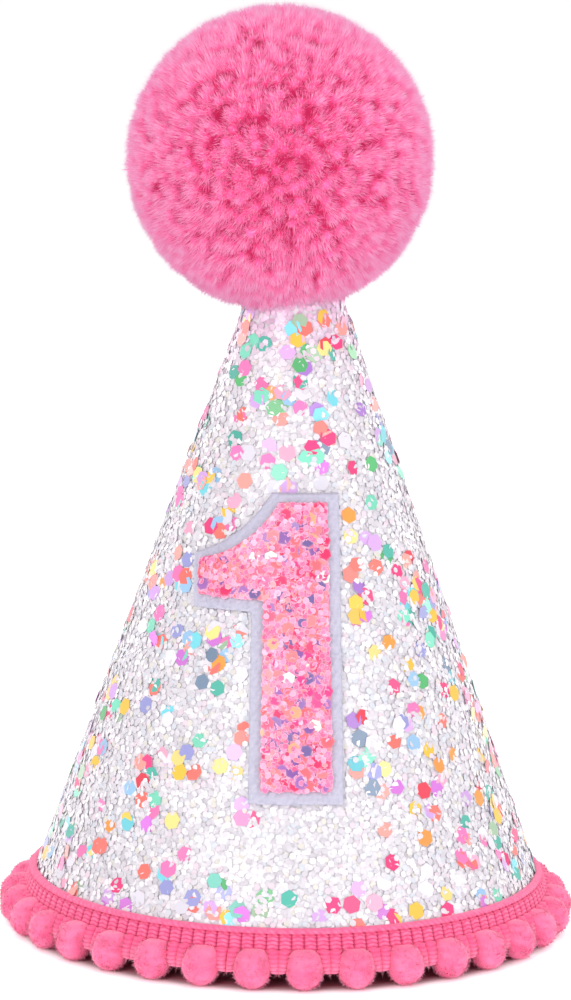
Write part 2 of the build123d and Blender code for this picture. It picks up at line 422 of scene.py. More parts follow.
# %% Hairs
def hairs(roots, tips, width, seed):
    """Slim four-faced spikes from roots to tips: three corners round the root, one at the tip."""
    draw = np.random.default_rng(seed)
    along = tips - roots
    length = np.linalg.norm(along, axis=1, keepdims=True)
    along = along / np.maximum(length, 1e-9)
    side = unit_length(np.cross(along, draw.normal(size=along.shape)))
    other = np.cross(along, side)
    angle = np.arange(3) * 2 * pi / 3
    width = np.broadcast_to(np.reshape(width, (-1, 1, 1)), (len(roots), 3, 1))
    offset = np.cos(angle)[None, :, None] * side[:, None] + np.sin(angle)[None, :, None] * other[:, None]
    base = roots[:, None] + offset * width / 2
    points = np.concatenate([base, tips[:, None]], 1).reshape(-1, 3)
    first = np.arange(len(roots))[:, None] * 4
    pattern = np.array([[0, 1, 3], [1, 2, 3], [2, 0, 3], [0, 2, 1]])
    faces = (first[:, None] + pattern[None]).reshape(-1, 3)
    return points, faces


def hair_chart(count, tone, cells=16):
    """A small cell of the flat map for each hair: its tone picks the column, its tip is high."""
    column = np.minimum((tone * cells).astype(int), cells - 1)[:, None]
    u = (column + np.array([0.2, 0.5, 0.8, 0.5])[None]) / cells
    v = np.broadcast_to([0.02, 0.06, 0.02, 0.98], (count, 4))
    return np.stack([u, v], -1).reshape(-1, 2)


def yarn_material(name, rough, sheen, sheen_tint, bump=0.0, bump_size=0.4):
    """Matt yarn or felt: colour from the mesh, a soft sheen, and fine fibres as bump."""
    settings = {
        "Roughness": rough,
        "Specular IOR Level": 0.25,
        "Sheen Weight": sheen,
        "Sheen Roughness": 0.45,
        "Sheen Tint": sheen_tint,
    }
    material, nodes, links, shader = new_material(name, settings)
    use_mesh_shade(nodes, links, shader)
    if bump:
        add_relief(nodes, links, shader, bump_size * MM, 4, bump, 0.15 * MM)
    return material


def furry_object(name, surface, ends, width, seed, shades, tone, material, split=0.85):
    """A surface and the hairs on it as one object.

    surface is its points, faces, shade and chart, with a place in the chart for each corner;
    ends are the hairs' roots and tips, and shades their colours. On the flat map the surface
    fills the part below split, and the hairs the part above.
    """
    points, faces, shade, chart = surface
    spikes, spike_faces = hairs(*ends, width, seed)
    tip_shade = np.broadcast_to(shades[1], shades[0].shape)
    spike_shade = np.stack([shades[0]] * 3 + [tip_shade], 1).reshape(-1, 4)
    spike_chart = hair_chart(len(tone), tone, 8)[spike_faces.ravel()]
    return new_object(
        name,
        np.concatenate([points, spikes]),
        [*faces, spike_faces + len(points)],
        material,
        np.concatenate([shade, spike_shade]),
        np.concatenate([chart * [1, split], spike_chart * [1, 0.97 - split] + [0, split + 0.02]]),
    )


print("hair tools ready")

# %% [markdown]
# ## Glitter cloth
# The cone is covered in chunky glitter fabric: a thin backing with flakes glued all over it.
# Painting flakes on with a texture would look flat, so each flake is a real hexagonal plate.
# First comes the backing, a closed sheet that follows the wall, with a seam at the back.

# %% Backing of the glitter cloth
SEAM_GAP = 0.4 * MM
COVER_CLEAR = 0.02 * MM


def sleeve(inner, outer, low, high, gap_angle, rows, columns, bulge=None):
    """A rolled sheet: rings run round its edge section, one for each angle round the cone.

    The section is a loop: up the outer face and down the inner one. The ends at the back are
    closed by the ring surface's fans.
    """
    angle = np.linspace(-pi + gap_angle / 2, pi - gap_angle / 2, columns)[:, None]
    up_z, down_z = np.linspace(low, high, rows), np.linspace(high, low, rows)
    z = np.concatenate([up_z, down_z])[None]
    offset = np.concatenate([np.full(rows, outer), np.full(rows, inner)])[None]
    z, angle_grid = np.broadcast_arrays(z, angle)
    offset = np.broadcast_to(offset, z.shape)
    points = on_wall(angle_grid, z, offset)
    if bulge is not None:
        outward = wall_frame(angle_grid)[2]
        points = points + outward * bulge(points)[..., None]
    return points


def sheet_chart(points):
    """Flat map of a rolled sheet: angle round the cone across, height up."""
    angle = np.arctan2(points[:, 0], -points[:, 1]) / (2 * pi) + 0.5
    height = (points[:, 2] - RIM_Z) / (TIP_Z - RIM_Z)
    return np.stack([0.02 + 0.96 * angle, 0.02 + 0.96 * np.clip(height, 0, 1)], -1)


def pearl_material(name, rough=0.35):
    """Foil flakes: colour from the mesh, fairly glossy, with a clear coat for the sparkle."""
    settings = {
        "Roughness": rough,
        "Specular IOR Level": 0.5,
        "Coat Weight": 0.3,
        "Coat Roughness": 0.12,
    }
    material, nodes, links, shader = new_material(name, settings)
    use_mesh_shade(nodes, links, shader)
    return material


seam_angle = SEAM_GAP / RIM_RADIUS
cloth_rings = sleeve(COVER_CLEAR, COVER_THICKNESS, RIM_Z, TIP_Z, seam_angle, rows=30, columns=241)
cloth_points, cloth_faces, _ = ring_surface(cloth_rings)
cloth_shade = mix(paint(216, 212, 219), paint(235, 231, 236), 0.5 + ripple(cloth_points, 3 * MM, 3))
glue = pearl_material("glitter_glue")
cloth_chart = sheet_chart(cloth_points)
glitter_backing = new_object("glitter_backing", cloth_points, cloth_faces, glue, cloth_shade, cloth_chart)
place(glitter_backing, "hat", "glitter_cloth", "glitter_cover")

# %% [markdown]
# The cloth is a stretched sheet. Unrolled, a cone is a slice of a disc: its radius is the
# slant length and its angle is 360 degrees times the sine of the half angle.


# %% [markdown]
# ## The numeral's outline
# The numeral is a plain block figure: a stem, and a flag whose upper edge sweeps up to the top
# of the stem in an arc. We need its outline twice, to keep glitter from growing under the felt
# and to fill the pink face with flakes. The outline is drawn in X and Z, as seen from the front.


# %% Outline of the numeral
FELT_LOW, FELT_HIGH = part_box("number_backing")
FACE_LOW, FACE_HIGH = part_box("number_face")
STEM_LEFT = -7.6 * MM
STEM_TAPER = 1.8 * MM
FLAG_FOOT = 35.2 * MM
FLAG_HEIGHT = 44.9 * MM
FACE_EDGE, FLAG_EDGE = 2.3 * MM, 0.45 * MM


def arc_through(start, middle, end, count=12):
    """Points on the circle through three points, from the first to the last."""
    a, b, c = complex(*start), complex(*middle), complex(*end)
    w = (c - a) / (b - a)
    centre = (b - a) * (w - abs(w) ** 2) / (2j * w.imag) + a
    radius = a - centre
    sweep = np.angle((c - centre) / radius)
    via = np.angle((b - centre) / radius)
    if sweep * via < 0 or abs(via) > abs(sweep):
        sweep -= np.sign(sweep) * 2 * pi
    turned = centre + radius * np.exp(1j * np.linspace(0, sweep, count))
    return np.stack([turned.real, turned.imag], -1)


def numeral_outline(low, high, stem_left, flag_foot, flag_height):
    """Corner points of the numeral in X and Z, anticlockwise from the foot's left end."""
    top_right = high[0] - STEM_TAPER
    shoulder = stem_left + 0.22 * (top_right - stem_left)
    bend = (stem_left - 0.30 * (stem_left - low[0]), flag_height + 0.36 * (high[2] - flag_height))
    arc = arc_through((shoulder, high[2]), bend, (low[0], flag_height))
    foot = [(stem_left, low[2]), (high[0], low[2]), (top_right, high[2])]
    notch = [(low[0], flag_foot), (stem_left, flag_foot)]
    return np.concatenate([foot, arc, notch])


def inside(outline, x, z, margin=0.0):
    """True where a point is inside the outline by at least margin.

    A point is inside when a line to the right crosses an odd number of edges; the margin test
    is the least distance to any edge.
    """
    ax, az = outline[:, 0][:, None], outline[:, 1][:, None]
    bx, bz = np.roll(ax, -1, 0), np.roll(az, -1, 0)
    crosses = (az > z) != (bz > z)
    rise = np.where(bz == az, 1.0, bz - az)
    hit = x < ax + (z - az) * (bx - ax) / rise
    odd = (crosses & hit).sum(0) % 2 == 1
    ex, ez = bx - ax, bz - az
    share = np.clip(((x - ax) * ex + (z - az) * ez) / (ex**2 + ez**2), 0, 1)
    gap = np.hypot(x - ax - share * ex, z - az - share * ez).min(0)
    return np.where(margin >= 0, odd & (gap >= margin), odd | (gap <= -margin))


flag_foot_z, flag_top_z = FELT_LOW[2] + FLAG_FOOT, FELT_LOW[2] + FLAG_HEIGHT
felt_outline = numeral_outline(FELT_LOW, FELT_HIGH, STEM_LEFT, flag_foot_z, flag_top_z)
face_outline = numeral_outline(
    FACE_LOW, FACE_HIGH, STEM_LEFT + FACE_EDGE, flag_foot_z + FACE_EDGE, flag_top_z - FLAG_EDGE
)
print("numeral outline has", len(felt_outline), "points")

# %% [markdown]
# ## Glitter flakes
# Chunky glitter is a mix of small white flakes and larger coloured ones, all hexagons punched
# from foil. Each flake is a thin six-sided plate, tilted a little at random. Its cut edge is
# painted paler than its face, and some flakes get a pale rim on the face too: painted
# highlights, which draw the bright outlines that make real flakes stand apart.
# To spread small flakes evenly we turn by the golden angle from one to the next, while the
# radius of the cone grows with the square root, so that every flake gets the same area.


# %% A layer of hexagonal plates
RIM_SHARE = 0.74


def plates(centres, angle, size, thickness, tilt, face_shade, edge_highlight, seed, rim_highlight_shade=None):
    """Closed hexagonal plates on the cone's wall.

    Each plate's normal leans from the wall's by its tilt, in a random direction; its corners
    are centre + size (cos(k pi/3) a + sin(k pi/3) b) in its own plane. The edge colour on the
    lower ring is a painted highlight. A rim shade adds a third ring on the upper face, at
    RIM_SHARE of the size, inside which the face shade begins; that pale rim is a painted
    highlight too.
    """
    draw = np.random.default_rng(seed)
    count = len(centres)
    across, up, out = wall_frame(angle)
    lean_to = draw.uniform(0, 2 * pi, count)[:, None]
    tilt = tilt[:, None]
    normal = out * np.cos(tilt) + (across * np.cos(lean_to) + up * np.sin(lean_to)) * np.sin(tilt)
    spin = draw.uniform(0, pi / 3, count)[:, None]
    first = across * np.cos(spin) + up * np.sin(spin)
    first = unit_length(first - (first * normal).sum(1, keepdims=True) * normal)
    second = np.cross(normal, first)
    corner = (np.arange(6) * pi / 3)[None, :, None]
    spread = np.cos(corner) * first[:, None] + np.sin(corner) * second[:, None]
    ring = centres[:, None] + spread * size[:, None, None]
    lift = (normal * thickness / 2)[:, None]
    # The lower ring takes the edge colour, a painted highlight on the cut edge.
    rings, shades = [ring - lift, ring + lift], [edge_highlight, face_shade]
    k = np.arange(6)
    beside = (k + 1) % 6
    sides = np.stack([k, beside, beside + 6, k + 6], -1)
    lids = np.stack([k[::-1], k + 6])
    if rim_highlight_shade is not None:
        rings.append(centres[:, None] + (ring - centres[:, None]) * RIM_SHARE + lift)
        shades = [edge_highlight, rim_highlight_shade, face_shade]
        sides = np.concatenate([sides, sides + 6])
        lids = np.stack([k[::-1], k + 12])
    points = np.concatenate(rings, 1).reshape(-1, 3)
    start = np.arange(count)[:, None] * 6 * len(rings)
    faces = [(start[:, None] + part[None]).reshape(-1, part.shape[1]) for part in (sides, lids)]
    shade = np.concatenate([np.repeat(tone[:, None], 6, 1) for tone in shades], 1).reshape(-1, 4)
    return points, faces, shade


def plate_chart(cell, cells, rings=2):
    """A cell of the flat map for each plate: the lower ring along one side, the upper filling it."""
    k = np.arange(6) * pi / 3
    ring = np.stack([0.5 + 0.42 * np.cos(k), 0.5 + 0.42 * np.sin(k)], -1)
    low = np.stack([0.5 + 0.05 * np.cos(k), 0.5 + 0.05 * np.sin(k)], -1)
    inner = 0.5 + (ring - 0.5) * RIM_SHARE
    unit = np.concatenate([low, ring, inner][:rings])[None]
    column, row = (cell % cells)[:, None], (cell // cells)[:, None]
    return np.stack([(column + unit[..., 0]) / cells, (row + unit[..., 1]) / cells], -1).reshape(-1, 2)


# %% Small white flakes
FLAKE_COUNT = 25500
FLAKE_PIECES = 3
FLAKE_SIZE = 0.65 * MM
FLAKE_THICKNESS = 0.07 * MM
TAPE_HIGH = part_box("trim_tape")[1][2]
FLAKES_TOP = TIP_Z - 15 * MM
BLUSH_FROM = TIP_Z - 32 * MM


def even_height(share, low, high):
    """Radius and height where a share of the wall's area is passed: r^2 falls in equal steps."""
    radius = np.sqrt(wall(low) ** 2 + share * (wall(high) ** 2 - wall(low) ** 2))
    return radius, RIM_Z + (RIM_RADIUS - radius) / SLOPE


def spread_on_wall(count, low, high, seed, jitter):
    """Even places on the wall: equal steps of area, and the golden angle from one to the next."""
    draw = np.random.default_rng(seed)
    radius, z = even_height((np.arange(count) + 0.5) / count, low, high)
    golden = pi * (3 - sqrt(5))
    angle = np.arange(count) * golden + draw.normal(0, jitter, count) / radius
    z = np.clip(z + draw.normal(0, jitter, count), low, high)
    angle = (angle + pi) % (2 * pi) - pi
    return angle, z


flake_angle, flake_z = spread_on_wall(FLAKE_COUNT, TAPE_HIGH - 0.4 * MM, FLAKES_TOP, 11, 0.3 * MM)
flake_x = wall(flake_z) * np.sin(flake_angle)
hidden = inside(felt_outline, flake_x, flake_z, 0.7 * MM) & (np.abs(flake_angle) < pi / 2)
flake_angle, flake_z = flake_angle[~hidden], flake_z[~hidden]
draw = np.random.default_rng(12)
flake_count = len(flake_angle)
flake_lift = COVER_THICKNESS + draw.uniform(0.05, 0.36, flake_count) * MM
flake_tilt = np.abs(draw.normal(0, radians(9), flake_count)).clip(0, radians(26))
flake_size = FLAKE_SIZE * draw.uniform(0.82, 1.12, flake_count)
PEARLS = palette(
    (226, 222, 227), (216, 212, 219), (211, 206, 213), (238, 235, 238),
    (227, 210, 220), (209, 213, 221), (220, 216, 208), (202, 197, 205),
)
PEARL_SHARES = [0.22, 0.2, 0.15, 0.2, 0.07, 0.06, 0.05, 0.05]
pearl = draw.choice(len(PEARLS), flake_count, p=PEARL_SHARES)
pearl_foil = pearl_material("pearl_foil", rough=0.3)
flake_centres = on_wall(flake_angle, flake_z, flake_lift)
# Towards the pom-pom the flakes turn pink: partly stray pink fluff, partly painted pink light bounced from
# the yarn.
fluff_dust_and_pink_bounce = np.clip((flake_z - BLUSH_FROM) / (FLAKES_TOP - BLUSH_FROM), 0, 1)[:, None]
dust_and_bounce_blush = 1 + (np.array([1.0, 0.66, 0.88, 1.0]) - 1) * fluff_dust_and_pink_bounce
for part in range(FLAKE_PIECES):
    pick = slice(part, None, FLAKE_PIECES)
    shades = PEARLS[pearl[pick]] * dust_and_bounce_blush[pick]
    points, faces, shade = plates(
        flake_centres[pick],
        flake_angle[pick],
        flake_size[pick],
        FLAKE_THICKNESS,
        flake_tilt[pick],
        shades,
        # A slightly paler edge: a painted highlight.
        np.clip(shades * 1.05, 0, 0.98),
        20 + part,
    )
    chart = plate_chart(pearl[pick], 3)
    flakes = new_object("white_flakes_%d" % (part + 1), points, faces, pearl_foil, shade, chart, False)
    place(flakes, "hat", "glitter_cloth")

# %% [markdown]
# The coloured hexagons are nearly three times as wide as the white flakes. Many lie in little
# drifts where the mix was thick, so we scatter drift centres first and then let some of the
# hexagons gather round them. A few white flakes on top cover part of many of them, which
# happens by itself, because the two layers' ranges of heights overlap.

# %% Coloured hexagons
HEXAGON_COUNT = 1120
HEXAGON_SIZE = 1.76 * MM
HEXAGON_THICKNESS = 0.11 * MM
HEXAGON_CELLS = 34
DRIFTS, DRIFT_SHARE, DRIFT_REACH = 240, 0.5, 2.6 * MM
# Each foil's red, green and blue, and its parts in the mix.
FOILS = {
    "hot_pink": (236, 66, 128, 6),
    "pink": (240, 122, 182, 9),
    "shell_pink": (250, 176, 204, 7),
    "coral": (246, 122, 112, 9),
    "salmon": (246, 160, 150, 6),
    "orange": (246, 156, 70, 3),
    "red": (226, 70, 88, 2),
    "yellow": (240, 196, 72, 8),
    "straw": (250, 226, 140, 3),
    "mint": (128, 220, 190, 7),
    "teal": (84, 182, 164, 7),
    "green": (92, 184, 116, 3),
    "sage": (164, 196, 164, 2),
    "aqua": (122, 214, 226, 7),
    "sky": (156, 198, 232, 4),
    "periwinkle": (158, 160, 216, 3),
    "lilac": (214, 170, 230, 5),
    "magenta": (214, 124, 218, 5),
    "violet": (172, 124, 206, 2),
    "pearl": (232, 229, 240, 11),
    "steel": (122, 142, 166, 2),
}


def drifted(angle, z, drift_count, share, reach, seed):
    """Move a share of the places close to one of the drift centres."""
    draw = np.random.default_rng(seed)
    home = draw.integers(0, drift_count, len(angle))
    moves = draw.random(len(angle)) < share
    moves[:drift_count] = False
    near_z = z[home] + draw.normal(0, reach, len(z))
    near_angle = angle[home] + draw.normal(0, reach, len(z)) / wall(near_z)
    fits = (near_z > TAPE_HIGH) & (near_z < FLAKES_TOP) & moves
    return np.where(fits, near_angle, angle), np.where(fits, near_z, z)


draw = np.random.default_rng(31)
_, hexagon_z = even_height(draw.random(HEXAGON_COUNT), TAPE_HIGH, FLAKES_TOP)
hexagon_angle = draw.uniform(-pi, pi, HEXAGON_COUNT)
hexagon_angle, hexagon_z = drifted(hexagon_angle, hexagon_z, DRIFTS, DRIFT_SHARE, DRIFT_REACH, 32)
hexagon_x = wall(hexagon_z) * np.sin(hexagon_angle)
covered = inside(felt_outline, hexagon_x, hexagon_z, -0.6 * MM) & (np.cos(hexagon_angle) > 0)
hexagon_angle, hexagon_z = hexagon_angle[~covered], hexagon_z[~covered]
count = len(hexagon_angle)
hexagon_lift = COVER_THICKNESS + draw.uniform(0.14, 0.43, count) * MM
hexagon_tilt = np.abs(draw.normal(0, radians(7), count)).clip(0, radians(16))
weight = np.array([foil[3] for foil in FOILS.values()], dtype=float)
foil = draw.choice(len(FOILS), count, p=weight / weight.sum())
foil_shade = palette(*[foil_tone[:3] for foil_tone in FOILS.values()])[foil]
foil_shade = np.clip(foil_shade * draw.uniform(0.86, 1.06, (count, 1)), 0, 0.97)
foil_shade[:, 3] = 1
points, faces, shade = plates(
    on_wall(hexagon_angle, hexagon_z, hexagon_lift),
    hexagon_angle,
    HEXAGON_SIZE * draw.uniform(0.9, 1.06, count),
    HEXAGON_THICKNESS,
    hexagon_tilt,
    foil_shade,
    # Edges half way to white: a painted highlight.
    mix(foil_shade, paint(255, 255, 255), 0.55),
    33,
)
coloured_foil = pearl_material("coloured_foil", rough=0.28)
chart = plate_chart(np.arange(count), HEXAGON_CELLS)
hexagons = new_object("coloured_hexagons", points, faces, coloured_foil, shade, chart, False)
place(hexagons, "hat", "glitter_cloth")

# %% [markdown]
# ## Felt numeral
# The white numeral is die-cut from thick felt and glued on the glitter. Felt has no crisp
# corner: its edge is rounded and bristles with fibres. The CAD solid has the right outline,
# bent round the cone, so we take a copy of it, rebuild its surface in small even cells and
# smooth it, which rounds the edge, then press gentle hollows into it and plant short hairs.

# %% Felt backing of the numeral
FELT_CELL = 0.36 * MM
FELT_HOLLOW = 0.07 * MM
FELT_HAIRS = 9000
FELT_WHITE, FELT_SHADED_LILAC = paint(197, 194, 211), paint(171, 173, 194)


def read_all(items, name, width, kind=float):
    """One property of every vertex, corner or face of a mesh, as rows of that width."""
    values = np.empty(len(items) * width, dtype=kind)
    items.foreach_get(name, values)
    return values.reshape(-1, width)


def even_copy(node, cell, smoothing):
    """Points and faces of a CAD node's copy, rebuilt in even cells and smoothed."""
    mesh = bpy.data.objects[node].data.copy()
    work = bmesh.new()
    work.from_mesh(mesh)
    bmesh.ops.remove_doubles(work, verts=work.verts, dist=0.002 * MM)
    work.to_mesh(mesh)
    work.free()
    helper = bpy.data.objects.new("helper", mesh)
    bpy.context.scene.collection.objects.link(helper)
    remesh = helper.modifiers.new("cells", "REMESH")
    remesh.mode = "VOXEL"
    remesh.voxel_size = cell
    soften = helper.modifiers.new("soften", "SMOOTH")
    soften.factor = 0.5
    soften.iterations = smoothing
    shape = helper.evaluated_get(bpy.context.evaluated_depsgraph_get())
    result = bpy.data.meshes.new_from_object(shape)
    points = read_all(result.vertices, "co", 3)
    normals = read_all(result.vertices, "normal", 3)
    corners = read_all(result.loops, "vertex_index", 1, np.int32).ravel()
    total = read_all(result.polygons, "loop_total", 1, np.int32).ravel()
    bpy.data.objects.remove(helper)
    bpy.data.meshes.remove(mesh)
    bpy.data.meshes.remove(result)
    starts = np.concatenate([[0], np.cumsum(total)[:-1]])
    faces = []
    for size in np.unique(total):
        first = starts[total == size]
        faces.append(corners[first[:, None] + np.arange(size)[None]])
    return points, faces, normals


felt_points, felt_faces, felt_normals = even_copy("number_backing", FELT_CELL, 3)
matting = ripple(felt_points, 1.1 * MM, 41) + 0.6 * ripple(felt_points, 0.45 * MM, 42)
felt_points = felt_points + felt_normals * (matting * FELT_HOLLOW)[:, None]
# The felt is a lilac white, darker in the pressed hollows and lighter on the bumps: a painted shade.
felt_shade = mix(FELT_SHADED_LILAC, FELT_WHITE, 0.72 + 0.3 * matting)
draw = np.random.default_rng(43)
front = felt_normals @ np.array([0, -1, 0.35]) > -0.2
choice = draw.choice(np.flatnonzero(front), FELT_HAIRS)
direction = unit_length(felt_normals[choice] + draw.normal(0, 0.75, (len(choice), 3)))
roots = felt_points[choice] - felt_normals[choice] * 0.05 * MM
tips = roots + direction * draw.uniform(0.15, 0.42, len(choice))[:, None] * MM
felt_corners = np.concatenate([face.ravel() for face in felt_faces])
number_felt = furry_object(
    "number_felt",
    (felt_points, felt_faces, felt_shade, sheet_chart(felt_points)[felt_corners]),
    (roots, tips),
    0.07 * MM,
    44,
    (felt_shade[choice], paint(211, 209, 223)),
    draw.random(len(choice)),
    yarn_material("white_felt", 0.92, 0.25, WHITE, 0.5, 0.35),
)
place(number_felt, "hat", "number_felt", "number_backing")

# %% [markdown]
# ## Pink glitter face
# A smaller numeral of pink glitter sheet lies on the felt. Its flakes are finer than those on
# the cone, but a few larger coral, violet and cream ones are mixed in. The sheet under them is
# rebuilt from the CAD solid too. Some flakes overhang the cut edge, which makes it irregular.

# %% Glitter sheet of the numeral
FACE_CELL = 0.4 * MM
FACE_FLAKES = 2300
FACE_LARGE = 190
EVEN_X, EVEN_Z = 0.7548776662, 0.5698402910
face_points, face_faces, _ = even_copy("number_face", FACE_CELL, 2)
face_shade = mix(paint(235, 92, 132), paint(250, 138, 168), 0.5 + ripple(face_points, 2 * MM, 51))
pink_glue = pearl_material("pink_glitter_glue", 0.5)
face_chart = sheet_chart(face_points)
number_sheet = new_object("number_glitter_sheet", face_points, face_faces, pink_glue, face_shade, face_chart)
place(number_sheet, "hat", "number_glitter", "number_face")

ROSES = palette(
    (232, 128, 174), (226, 108, 156), (238, 150, 188), (218, 82, 138), (240, 174, 204),
    (236, 122, 140), (212, 66, 116), (226, 116, 168), (236, 142, 154),
)
BRIGHTS = palette(
    (242, 104, 116), (222, 44, 102), (136, 88, 164), (160, 104, 178), (246, 130, 136),
    (116, 96, 156), (250, 240, 228), (232, 60, 134), (246, 166, 124),
)


def numeral_flakes(name, count, shades, likely, size, lift_low, lift_high, lean, margin, rim, seed):
    """Plates scattered over the pink face, inside its outline by a margin.

    The remainders of whole steps of EVEN_X and EVEN_Z spread evenly over the outline's box.
    """
    draw = np.random.default_rng(seed)
    tries = count * 4
    step = (np.arange(tries) + draw.random()) / tries
    x = FACE_LOW[0] + (step * tries * EVEN_X % 1) * (FACE_HIGH[0] - FACE_LOW[0])
    z = FACE_LOW[2] + (step * tries * EVEN_Z % 1) * (FACE_HIGH[2] - FACE_LOW[2])
    x = x + draw.normal(0, 0.12 * MM, tries)
    z = z + draw.normal(0, 0.12 * MM, tries)
    kept = np.flatnonzero(inside(face_outline, x, z, margin))[:count]
    x, z = x[kept], z[kept]
    top = COVER_THICKNESS + FELT_THICKNESS + FACE_THICKNESS
    lift = top + draw.uniform(lift_low, lift_high, len(x)) * MM
    angle = np.arcsin(x / wall(z, top))
    pick = draw.choice(len(shades), len(x), p=np.array(likely) / sum(likely))
    tilt = np.abs(draw.normal(0, radians(lean), len(x))).clip(0, radians(40))
    points, faces, shade = plates(
        on_wall(angle, z, lift),
        angle,
        size * draw.uniform(0.8, 1.15, len(x)),
        0.06 * MM,
        tilt,
        shades[pick],
        # Pale edges, and a pale rim on the face whose share is rim: painted highlights.
        mix(shades[pick], paint(255, 235, 240), 0.5),
        seed + 1,
        mix(shades[pick], paint(255, 226, 238), rim),
    )
    chart = plate_chart(pick, 3, 3)
    flakes = new_object(name, points, faces, pearl_material(name + "_foil", 0.3), shade, chart, False)
    place(flakes, "hat", "number_glitter")


BRIGHT_SHARES, ROSE_SHARES = [18, 18, 9, 6, 16, 8, 4, 14, 5], [24, 16, 20, 7, 12, 6, 3, 8, 6]
numeral_flakes(
    "bright_flakes", FACE_LARGE, BRIGHTS, BRIGHT_SHARES, size=1.28 * MM,
    lift_low=0.12, lift_high=0.34, lean=6, margin=0.8 * MM, rim=0.12, seed=54,
)
numeral_flakes(
    "rose_flakes", FACE_FLAKES, ROSES, ROSE_SHARES, size=0.64 * MM,
    lift_low=0.03, lift_high=0.34, lean=10, margin=0.42 * MM, rim=0.5, seed=52,
)

# %% [markdown]
# ## Knitted braid round the rim
# Ball fringe hangs from a narrow braid. Its face is a row of knitted ribs, four to each ball,
# parted by thin slits that show tiny holes between the stitches, under a smooth rolled edge.
# We carry the braid's flat section round the rim, close it at both ends, and lift its outer
# face by a function of the distance round the rim and the height on the braid.

# %% Braid
TAPE_LOW_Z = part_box("trim_tape")[0][2]
TAPE_WIDTH = 4.6 * MM
TAPE_THICKNESS = 1.2 * MM
TAPE_GAP = 0.3 * MM
RIBS_PER_BALL = 4
RIB_COUNT = RIBS_PER_BALL * len(BALLS)
RIB_STEPS = 10
OUTER_STEPS, INNER_STEPS = 34, 7
ROLL_HEIGHT = 1.15 * MM
STITCH_PITCH = 0.76 * MM
BRAID_PAINTED_SHADE, BRAID_MIDDLE, BRAID_LIGHT = paint(184, 26, 78), paint(240, 84, 134), paint(255, 126, 168)
BALL_PHASE = radians(3.95)


def braid_surface():
    """Braid section carried round the rim.

    The section goes up the outer face and down the inner one; both draw in at the ends as
    |2 s - 1|^10, s being the share of the width. On the outer face, ribs rise as
    1 - |2 f - 1|^4, where f is the share of a rib passed, slits sink between them, and short
    stitches ripple across at a small pitch. The colour is painted shade in the slits, between
    the stitches, in the crease under the roll and in the roll's twist, and painted light on
    the stitches and the roll.
    """
    turns = RIB_COUNT * RIB_STEPS + 1
    edge = TAPE_GAP / RIM_RADIUS / 2
    angle = np.linspace(-pi + edge, pi - edge, turns)[:, None]
    s_out, s_in = np.linspace(0, 1, OUTER_STEPS), np.linspace(0.995, 0.005, INNER_STEPS)
    s = np.concatenate([s_out, s_in])[None]
    draw_in = np.abs(2 * s - 1) ** 10
    is_outer = np.arange(OUTER_STEPS + INNER_STEPS)[None] < OUTER_STEPS
    t = np.where(is_outer, 1 - 0.42 * draw_in, 0.42 * draw_in)
    outer = is_outer * (1 - draw_in)
    height = s * TAPE_WIDTH
    share = ((angle - BALL_PHASE) / (2 * pi) * RIB_COUNT) % 1
    roll = 1 / (1 + np.exp(-(height - (TAPE_WIDTH - ROLL_HEIGHT)) / (0.09 * MM)))
    rib = 1 - np.abs(2 * share - 1) ** 4
    middle = np.abs(share - 0.5) * 2
    slit = np.exp(-(((1 - middle) / 0.16) ** 2))
    holes = 0.6 - 0.4 * np.cos(2 * pi * height / STITCH_PITCH)
    stitch = np.abs(np.sin(pi * height / STITCH_PITCH + 0.5 * np.cos(2 * pi * share))) ** 0.6
    body = 0.16 * MM * rib - 0.45 * MM * slit * holes + 0.2 * MM * stitch
    bead = (height - (TAPE_WIDTH - ROLL_HEIGHT)) / ROLL_HEIGHT
    round_edge = np.sqrt(np.clip(1 - (2 * bead - 1.1) ** 2, 0, 1))
    twist = 0.09 * MM * np.cos(2 * pi * (share * 2.0 + height / (1.3 * MM)))
    rolled = 0.34 * MM * round_edge + twist
    dip = -0.3 * MM * np.exp(-(((height - (TAPE_WIDTH - ROLL_HEIGHT)) / (0.16 * MM)) ** 2))
    lift = outer * (body * (1 - roll) + rolled * roll + dip)
    offset = COVER_THICKNESS + 0.04 * MM + t * TAPE_THICKNESS + lift
    z = TAPE_LOW_Z + height / SLANT + 0 * angle
    points = on_wall(angle + 0 * s, z, offset)
    grain = ripple(points, 1.4 * MM, 61)
    # Darker in the slits, between stitches, in the crease under the roll and in the twist's troughs: painted
    # shade. Lighter on the stitches and the roll: painted light.
    groove = slit * (0.5 + 0.9 * holes) + 0.9 * np.clip(0.85 - stitch, 0, 1) / 0.85
    twist_trough_shade = 0.3 * roll * np.clip(-twist / (0.09 * MM), 0, 1)
    dark = np.clip(outer * (groove * (1 - roll) + 0.4 * (dip < -0.1 * MM) + twist_trough_shade), 0, 1)
    shade = mix(BRAID_MIDDLE, BRAID_LIGHT, 0.25 + 0.3 * grain + 0.45 * (stitch * (1 - roll) + roll))
    shade = mix(shade, BRAID_PAINTED_SHADE, dark * 0.9)
    return points, shade


braid_rings, braid_shade = braid_surface()
points, faces, chart = ring_surface(braid_rings)
shade = np.concatenate([braid_shade.reshape(-1, 4), np.tile(BRAID_MIDDLE, (2, 1))])
knit = yarn_material("knitted_yarn", 0.8, 0.3, (1, 0.75, 0.85, 1), 0.5, 0.22)
braid = new_object("fringe_braid", points, faces, knit, shade, chart)
place(braid, "hat", "braid_yarn", "trim_tape")

# %% [markdown]
# ## Loops between the balls
# Two plump yarn loops hang in every gap and hold the balls at both sides. Each is a tube on a
# slightly bowed path from the braid down past the balls' middles, wider at the top. Rows of
# stitches swell it at the braid's own pitch, and four shallow grooves run along it.

